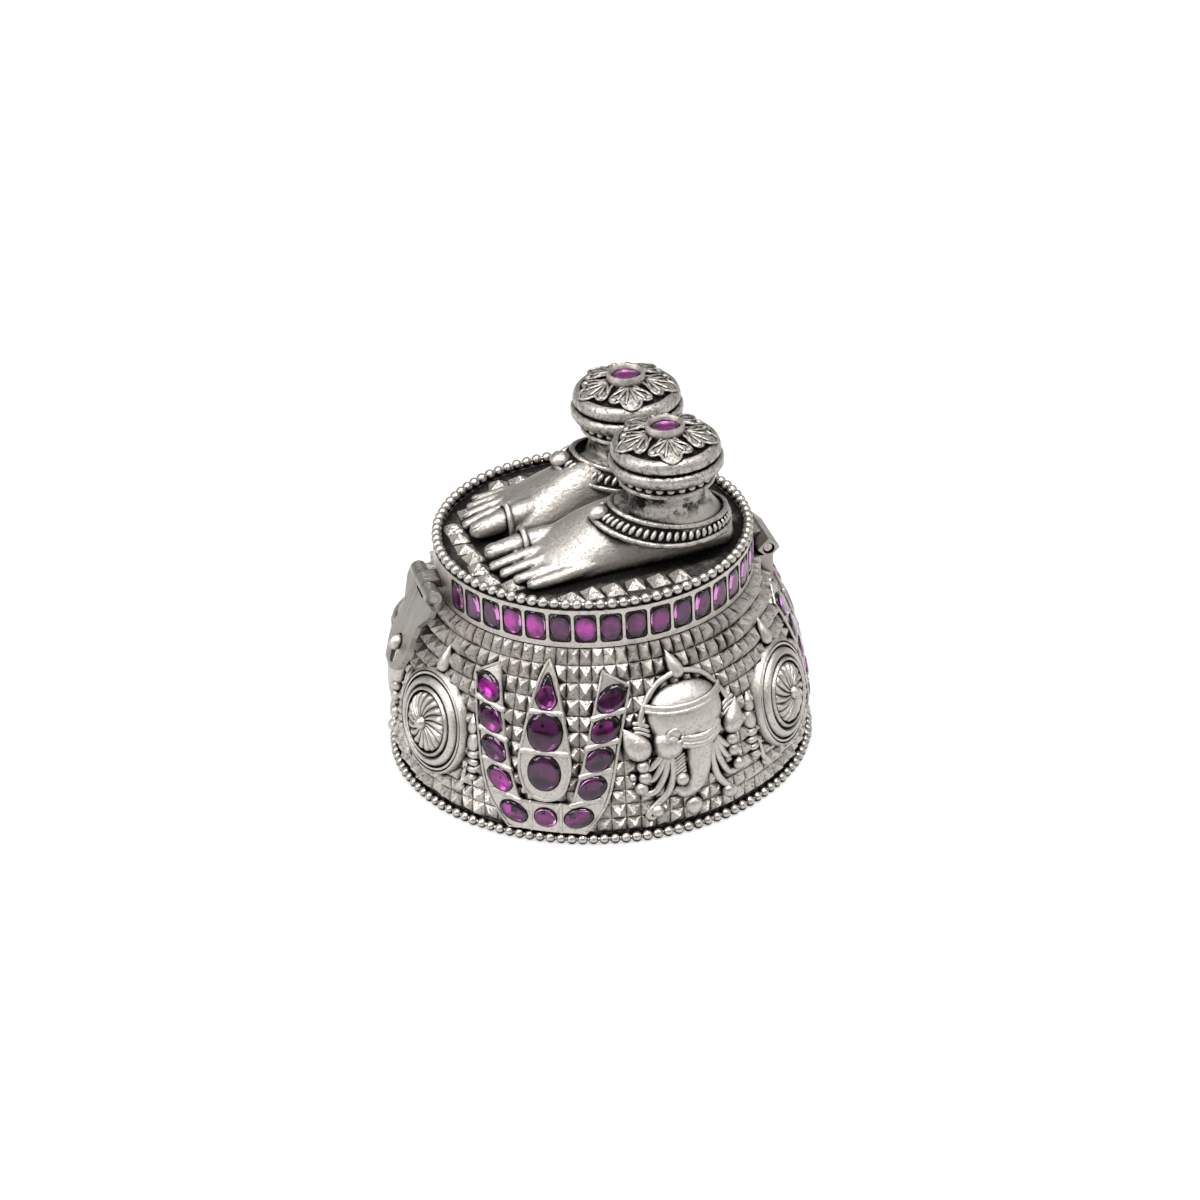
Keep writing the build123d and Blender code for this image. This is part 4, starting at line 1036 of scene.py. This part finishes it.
def makeBandStones():
    parts = []
    line = roundedOutline(band["halfX"], band["halfZ"], 0, band["fullness"], 40)
    cellLine = roundedOutline(band["cellX"], band["cellZ"], 0, band["cellFullness"], 40)
    for cell in range(band["cells"]):
        if cell in band["bare"]:
            continue

        def place(dx, dz, lift, cell=cell):
            a = 2 * math.pi * cell / band["cells"] + dx / band["radius"]
            reach = band["radius"] + lift
            return Vector((reach * math.sin(a), -reach * math.cos(a), band["middle"] + dz))
        shade = band["paintedLightLevels"][cell % len(band["paintedLightLevels"])]
        parts += stoneParts(place, line, band["dome"], band["depth"], band["sunk"], shade, 0)
        parts.append((*bedRing(place, cellLine, line, *band["bed"]), settingBlack))
    makePiece("lidBandStones", parts, "lid", ["lid_band_stones"])


makeBandStones()
print("band stones made")

# Feet: a lofted foot with toes and a waisted stump, blended into one skin.
# Sections: y, inner and outer side, crest. Stump: radius, height, length over width. Toes: place and radius

foot = {"ground": 32.62, "turn": 3.0, "ankle": (8.3, 8.4), "voxel": 0.20, "rounds": 5, "crestShare": 0.36,
        "nail": (0.52, 0.66, 0.13), "nailForward": 0.35, "nailUp": 0.86, "nailTilt": -0.45,
        "sections": ((17.6, 6.9, 9.3, 1.8), (17.2, 6.0, 10.2, 3.2), (16.0, 4.4, 11.4, 5.3),
                     (12.4, 3.4, 12.2, 7.6), (8.4, 2.8, 12.7, 8.5), (2.75, 2.1, 12.9, 8.3),
                     (-2.5, 1.4, 13.2, 6.8), (-5.5, 1.2, 13.4, 5.4), (-8.4, 1.3, 13.3, 4.0),
                     (-10.8, 1.6, 13.0, 2.8), (-12.6, 2.2, 12.2, 1.4)),
        "stump": ((6.5, 36.4, 1.28), (6.2, 38.0, 1.24), (5.85, 39.3, 1.14), (5.55, 40.6, 1.04),
                  (5.45, 41.6, 1.0), (5.75, 42.7, 1.0), (6.0, 43.5, 1.0)),
        "toes": (((4.8, -2.0, 3.6, 1.3), (4.1, -8.6, 2.6, 1.85), (3.7, -12.4, 1.95, 1.70),
                  (3.4, -15.3, 1.5, 1.38)),
                 ((7.1, -4.5, 3.0, 1.0), (6.85, -8.8, 2.42, 1.15), (6.6, -12.6, 1.8, 1.05),
                  (6.35, -16.1, 1.0, 0.85)),
                 ((9.0, -4.3, 2.7, 1.0), (8.95, -8.4, 2.2, 1.12), (8.85, -12.0, 1.65, 1.02),
                  (8.7, -15.3, 0.98, 0.84)),
                 ((10.75, -3.8, 2.1, 0.9), (10.95, -7.8, 1.75, 1.08), (11.0, -11.2, 1.4, 0.98),
                  (10.95, -14.1, 0.95, 0.82)),
                 ((12.1, -3.0, 1.9, 0.9), (12.55, -7.0, 1.5, 1.02), (12.8, -10.2, 1.15, 0.95),
                  (12.9, -12.8, 0.92, 0.8)))}


def footLoft():
    across, top = 24, foot["crestShare"]
    lines = smoothLine(foot["sections"], 3)
    verts = []
    for y, medial, lateral, crest in lines:
        for s in range(across + 1):
            share = (1 - math.cos(math.pi * s / across)) / 2
            side = (top - share) / top if share < top else (share - top) / (1 - top)
            rise = crest * max(0.0, 1 - side ** 2.2) ** (1 / 2.2)
            tuck = 0.5 * (1 - min(1.0, rise / 1.6)) * (1 if share < 0.5 else -1)
            verts.append(Vector((medial + (lateral - medial) * share + tuck, y, foot["ground"] + rise)))
    return verts, ringFaces(len(lines), across + 1, ends=True)


def toeParts():
    parts = []
    for toe in foot["toes"]:
        line = smoothLine(toe, 7)
        parts.append(tube([(x, y, foot["ground"] + z) for x, y, z, radius in line], [p[3] for p in line],
                          18))
    return parts


def nailParts():
    parts = []
    for *back, knuckle, tip in foot["toes"]:
        half = tip[3]
        along = (Vector(tip[:3]) - Vector(knuckle[:3])).normalized()
        place = Vector(tip[:3]) + along * half * foot["nailForward"]
        place.z += foot["ground"] + half * foot["nailUp"]
        way = Vector((along.x, along.y, foot["nailTilt"])).normalized()
        turn = Vector((0, -1, 0)).rotation_difference(way).to_matrix()
        parts.append(ball(place, [half * share for share in foot["nail"]], 14, 8, turn))
    return parts


# Waisted stump of the ankle, longer than wide at its foot
def stumpPart():
    stump = foot["stump"]
    verts, faces = turned([(0, stump[0][1])] + [(r, z) for r, z, k in stump] + [(0, stump[-1][1])], 64)
    grown = {round(z, 3): k for r, z, k in stump}
    x0, y0 = foot["ankle"]
    return [Vector((x0 + v.x, y0 + v.y * grown.get(round(v.z, 3), 1.0), v.z)) for v in verts], faces


# The same piece on both feet; parts may differ by side
def bothFeet(name, parts, replaced, sharp=38.0):
    for side in ("right", "left"):
        shown = []
        for points, shapes, material in (parts[side] if isinstance(parts, dict) else parts):
            part = (points, shapes) if side == "right" else mirrored((points, shapes))
            shown.append((*turnedAbout(part, foot["turn"]), material))
        makePiece(f"{side}{name}", shown, "lid", [f"{side}_{replaced}"], sharp)


footSkin = blended("footSkin", [footLoft(), stumpPart()] + toeParts(), foot["voxel"], foot["rounds"])
bothFeet("Foot", painted([footSkin] + nailParts(), footSilver), "foot", 60.0)
print("feet made:", len(footSkin[1]), "faces each")

# Anklets: two rails with slanted beads between, and a bud at the front.
# Each rail: half sizes across and along, middle, height at the back, rise to the front and its sharpness

anklet = {"inner": (5.9, 8.1, 8.4, 38.2, 2.5, 2), "outer": (6.9, 9.7, 7.3, 36.2, 3.2, 3), "beads": 54,
          "steps": 72, "rail": 0.42, "thick": 2.0, "middle": (8.3, 8.0, 34.0), "bud": (1.45, 1.5, 1.1),
          "budShift": (0, -0.6, 0.1),
          "beadEnds": (0.34, 0.66), "beadLift": (0.10, 0.22), "beadRadii": (0.28, 0.37, 0.28), "beadUp": 2.0}


def ankletLine(which, count):
    halfX, halfY, centreY, low, rise, power = anklet[which]
    line = []
    for i in range(count):
        a = 2 * math.pi * i / count
        height = low + rise * ((1 + math.cos(a)) / 2) ** power
        line.append(Vector((foot["ankle"][0] + halfX * math.sin(a), centreY - halfY * math.cos(a), height)))
    return line


def makeAnklets():
    steps, centre = anklet["steps"], Vector(anklet["middle"])
    inner, outer = ankletLine("inner", steps), ankletLine("outer", steps)
    parts = painted([tube(line, [anklet["rail"]] * steps, 8, True) for line in (inner, outer)], capSilver)
    verts = []
    for low, high in zip(outer, inner):
        inward = (centre - (low + high) / 2).normalized() * anklet["thick"]
        verts += [low, high, high + inward, low + inward]
    parts.append((verts, ringFaces(steps, 4, True), groundSilver))
    inner, outer = ankletLine("inner", anklet["beads"]), ankletLine("outer", anklet["beads"])
    for low, high in zip(outer, inner):
        middle = (low + high) / 2
        outward = Vector((middle.x - centre.x, middle.y - centre.y, anklet["beadUp"])).normalized()
        edge, crest = (outward * lift for lift in anklet["beadLift"])
        first, last = (low.lerp(high, share) + edge for share in anklet["beadEnds"])
        line = [first, middle + crest, last]
        parts.append((*tube(line, anklet["beadRadii"], 10), reliefSilver))
    bud = (inner[0] + outer[0]) / 2 + Vector(anklet["budShift"])
    parts.append((*ball(bud, anklet["bud"], 20, 12), reliefSilver))
    bothFeet("Anklet", parts, "anklet", 60.0)


makeAnklets()

toeRing = {"x": 3.75, "y": -11.2, "half": 2.35, "low": 0.2, "rise": 4.35, "wire": 0.40, "steps": 15}


def makeToeRings():
    line = []
    for i in range(toeRing["steps"]):
        a = math.pi * i / (toeRing["steps"] - 1)
        height = foot["ground"] + toeRing["low"] + toeRing["rise"] * math.sin(a) ** 0.75
        line.append((toeRing["x"] - toeRing["half"] * math.cos(a), toeRing["y"], height))
    ring = tube(line, [toeRing["wire"]] * toeRing["steps"], 10)
    bothFeet("ToeRing", [(*ring, reliefSilver)], "toe_ring", 60.0)


makeToeRings()
print("anklets and toe rings made")

# Caps over the ankles: turned bands, a scalloped neck, petals, a bezel and a stone

cap = {"raised": 0.45, "dots": 26, "dot": (0.60, 0.60, 0.50), "neck": (6.1, 44.2), "petals": 5,
       "petalTurn": {"right": 43.0, "left": 29.0}, "dome": (50.0, 1.05, 6.3, 1.9),
       "bands": ((0, 43.02), (6.4, 43.02), (6.65, 43.2), (6.65, 43.5), (6.45, 43.72), (6.0, 43.8),
                 (6.0, 44.95), (6.9, 45.0), (7.65, 45.2), (7.88, 45.6), (7.9, 46.3), (7.72, 46.75),
                 (7.3, 46.92), (6.95, 46.95), (6.92, 47.2), (7.4, 47.25), (7.58, 47.5), (7.52, 48.1),
                 (7.25, 48.7), (6.95, 48.98), (6.5, 49.02), (6.3, 48.8), (0, 48.8)),
       "ground": ((0, 48.6), (6.35, 48.6), (6.35, 48.88), (5.4, 49.28), (4.2, 49.62), (2.8, 49.92),
                  (0, 50.05)),
       "petal": ((0.0, 7.2), (0.62, 6.98), (1.15, 6.4), (1.35, 5.8), (1.65, 5.42), (2.2, 5.5), (2.78, 5.15),
                 (2.8, 4.55), (2.25, 3.85), (1.4, 3.15), (0.85, 2.5)),
       "petalMiddle": 4.4, "ribs": (-62, -38, -14, 14, 38, 62), "ribFoot": 2.75,
       "ribReach": (3.4, 1.1), "ribRise": 0.50, "ribShares": (0.0, 0.35, 0.7, 1.0),
       "ribRadii": (0.13, 0.23, 0.29, 0.18), "petalEdge": (0.42, 0.24), "lobe": (2.5, 5.0, 0.45),
       "lobeSize": (0.55, 0.5, 0.42),
       "petalLevels": ((1.0, -0.3), (1.0, 0.38), (0.8, 0.46), (0.55, 0.50), (0.3, 0.50), (0.1, 0.50)),
       "bezel": ((1.98, 49.6), (2.62, 49.6), (2.72, 50.5), (2.68, 51.15), (2.54, 51.44), (2.34, 51.46),
                 (2.16, 51.25), (2.04, 50.4)),
       "stone": 2.04, "stoneTop": 50.62, "stoneDome": 0.25, "stoneDepth": 0.5}


def onDome(x, y, rise):
    top, drop, reach, power = cap["dome"]
    return Vector((x, y, top - drop * (math.hypot(x, y) / reach) ** power + rise))


# Petal with three lobes: a thin leaf with a raised edge, ribs fanned over it and rolled side lobes
def petalPart(turnDeg):
    half, middle = cap["petal"], cap["petalMiddle"]
    line = smoothLine([*half, *[(-x, y) for x, y in reversed(half[1:])]], 4, True)
    count = len(line)
    rise, wire = cap["petalEdge"]
    parts = [tube([onDome(x, y, rise) for x, y in line], [wire] * count, 8, True)]
    longest, less = cap["ribReach"]
    for ribDeg in cap["ribs"]:
        a = math.radians(ribDeg)
        reach = longest - less * abs(math.sin(a)) ** 2
        points = [onDome(math.sin(a) * reach * t, cap["ribFoot"] + math.cos(a) * reach * t, cap["ribRise"])
                  for t in cap["ribShares"]]
        parts.append(tube(points, cap["ribRadii"], 8))
    for side in (1, -1):
        x, y, rise = cap["lobe"]
        parts.append(ball(onDome(side * x, y, rise), cap["lobeSize"], 12, 8))
    verts = [onDome(x * share, middle + (y - middle) * share, rise) for share, rise in cap["petalLevels"]
             for x, y in line]
    parts.append((verts, ringFaces(len(cap["petalLevels"]), count, ends=True)))
    return [turnedAbout(part, turnDeg) for part in parts]


def atAnkle(part):
    shift = Vector((*foot["ankle"], cap["raised"]))
    return [v + shift for v in part[0]], part[1]


def makeCaps():
    parts = [(*atAnkle(turned(cap["bands"])), capSilver), (*atAnkle(turned(cap["ground"])), groundSilver)]
    radius, height = cap["neck"]
    for i in range(cap["dots"]):
        a = 2 * math.pi * i / cap["dots"]
        dot = ball((radius * math.cos(a), radius * math.sin(a), height), cap["dot"], 10, 7)
        parts.append((*atAnkle(dot), reliefSilver))
    bothFeet("AnkleCap", parts, "ankle_cap", 50.0)
    petals = {}
    for side, turn in cap["petalTurn"].items():
        petals[side] = [(*atAnkle(part), capSilver) for i in range(cap["petals"])
                        for part in petalPart(turn + 360 * i / cap["petals"])]
    bothFeet("CapFlower", petals, "cap_flower", 60.0)
    bezel = atAnkle(turned(cap["bezel"], 48, closed=True))
    bothFeet("CapBezel", [(*bezel, reliefSilver)], "cap_bezel", 50.0)

    def place(dx, dz, lift):
        return Vector((foot["ankle"][0] + dx, foot["ankle"][1] + dz, cap["stoneTop"] + cap["raised"] + lift))
    line = roundedOutline(cap["stone"], cap["stone"], 0, 2.0, 30)
    bothFeet("CapStone", stoneParts(place, line, cap["stoneDome"], cap["stoneDepth"], shade=1, pad=0),
             "cap_stone")


makeCaps()
print("caps made")

# Pieces kept from the frame take a material only

kept = {"bottom_plate": insideSilver, "neck_collar": insideSilver, "lid_band": plateSilver,
        "hasp_stud": reliefSilver,
        "body_hinge_knuckles": leafSilver, "hinge_pin": plateSilver, "lid_hinge_knuckle": leafSilver,
        "hasp_bracket": leafSilver, "hasp_pin": reliefSilver, "hasp_leaf": leafSilver}
for number in (1, 2, 3):
    kept[f"tilak_frame_{number}"] = plateSilver
    kept[f"tilak_flame_{number}"] = plateSilver
for name, material in kept.items():
    for holder in nodes[name].material_slots:
        holder.material = material
print("frame nodes painted")

# Floor, light and camera

stage = {"floor": 3.0, "floorTone": (0.86, 0.86, 0.86), "floorGlow": 0.62, "worldLow": (0.10, 0.10, 0.10),
         "worldHigh": (0.60, 0.60, 0.60), "camera": 0.600, "azimuth": 75.917, "elevation": 30.176,
         "roll": -2.547, "aim": 0.020, "lens": 128.336, "shiftX": 0.003441, "shiftY": 0.007821,
         "lamps": (("overhead", (0.16, 0.00, 0.70), (0.45, 0.45), 6.4),
                   ("leftSide", (0.10, -0.60, 0.42), (0.30, 0.40), 2.5),
                   ("rightSide", (0.30, 0.60, 0.38), (0.30, 0.40), 0.8))}


def makeFloor():
    half = stage["floor"]
    mesh = bpy.data.meshes.new("floor")
    corners = [(-half, -half, 0), (half, -half, 0), (half, half, 0), (-half, half, 0)]
    mesh.from_pydata(corners, [], [(0, 1, 2, 3)])
    floor = newObject("floor", mesh)
    paint = bpy.data.materials.new("floorWhite")
    paint.use_nodes = True
    tree = paint.node_tree
    tree.nodes.clear()
    matte = newNode(tree, "ShaderNodeBsdfDiffuse", {"Color": stage["floorTone"]})
    glow = newNode(tree, "ShaderNodeEmission", {"Color": (1, 1, 1), "Strength": 1.0})
    path = newNode(tree, "ShaderNodeLightPath").outputs
    seen = math2(tree, "MAXIMUM", path["Is Camera Ray"], path["Is Transmission Ray"])
    seen = math2(tree, "MAXIMUM", seen, path["Is Glossy Ray"])
    share = math2(tree, "MULTIPLY", seen, stage["floorGlow"])
    blend = newNode(tree, "ShaderNodeMixShader", {0: share, 1: matte.outputs[0], 2: glow.outputs[0]})
    newNode(tree, "ShaderNodeOutputMaterial", {0: blend.outputs[0]})
    mesh.materials.append(paint)


def makeLamp(name, place, sizes, power):
    data = bpy.data.lights.new(name, "AREA")
    data.shape = "RECTANGLE"
    data.size, data.size_y = sizes
    data.energy = power
    lamp = newObject(name, data)
    lamp.location = place
    lamp.rotation_euler = (Vector((0, 0, stage["aim"])) - Vector(place)).to_track_quat("-Z", "Y").to_euler()


def makeWorld():
    world = bpy.data.worlds.new("softRoom")
    bpy.context.scene.world = world
    world.use_nodes = True
    tree = world.node_tree
    tree.nodes.clear()
    coords = newNode(tree, "ShaderNodeTexCoord")
    share = mapRange(tree, apart(tree, coords.outputs["Generated"])["Z"], 0.0, 0.9)
    shade = mixColor(tree, share, stage["worldLow"], stage["worldHigh"])
    back = newNode(tree, "ShaderNodeBackground", {"Color": shade, "Strength": 1.0})
    newNode(tree, "ShaderNodeOutputWorld", {0: back.outputs[0]})


def makeCamera():
    a, e, roll = (math.radians(stage[key]) for key in ("azimuth", "elevation", "roll"))
    back = Vector((math.sin(a) * math.cos(e), -math.cos(a) * math.cos(e), math.sin(e)))
    right = Vector((math.cos(a), math.sin(a), 0))
    up = Vector((-math.sin(a) * math.sin(e), math.cos(a) * math.sin(e), math.cos(e)))
    turnedRight = right * math.cos(roll) + up * math.sin(roll)
    turnedUp = up * math.cos(roll) - right * math.sin(roll)
    data = bpy.data.cameras.new("camera")
    data.sensor_width = 36.0
    data.lens = stage["lens"]
    data.shift_x, data.shift_y = stage["shiftX"], stage["shiftY"]
    camera = newObject("camera", data)
    turn = Matrix((turnedRight, turnedUp, back)).transposed().to_4x4()
    camera.matrix_world = Matrix.Translation(Vector((0, 0, stage["aim"])) + back * stage["camera"]) @ turn
    bpy.context.scene.camera = camera


makeFloor()
for lamp in stage["lamps"]:
    makeLamp(*lamp)
makeWorld()
makeCamera()
bpy.context.scene.view_settings.view_transform = "Standard"
print("stage set")
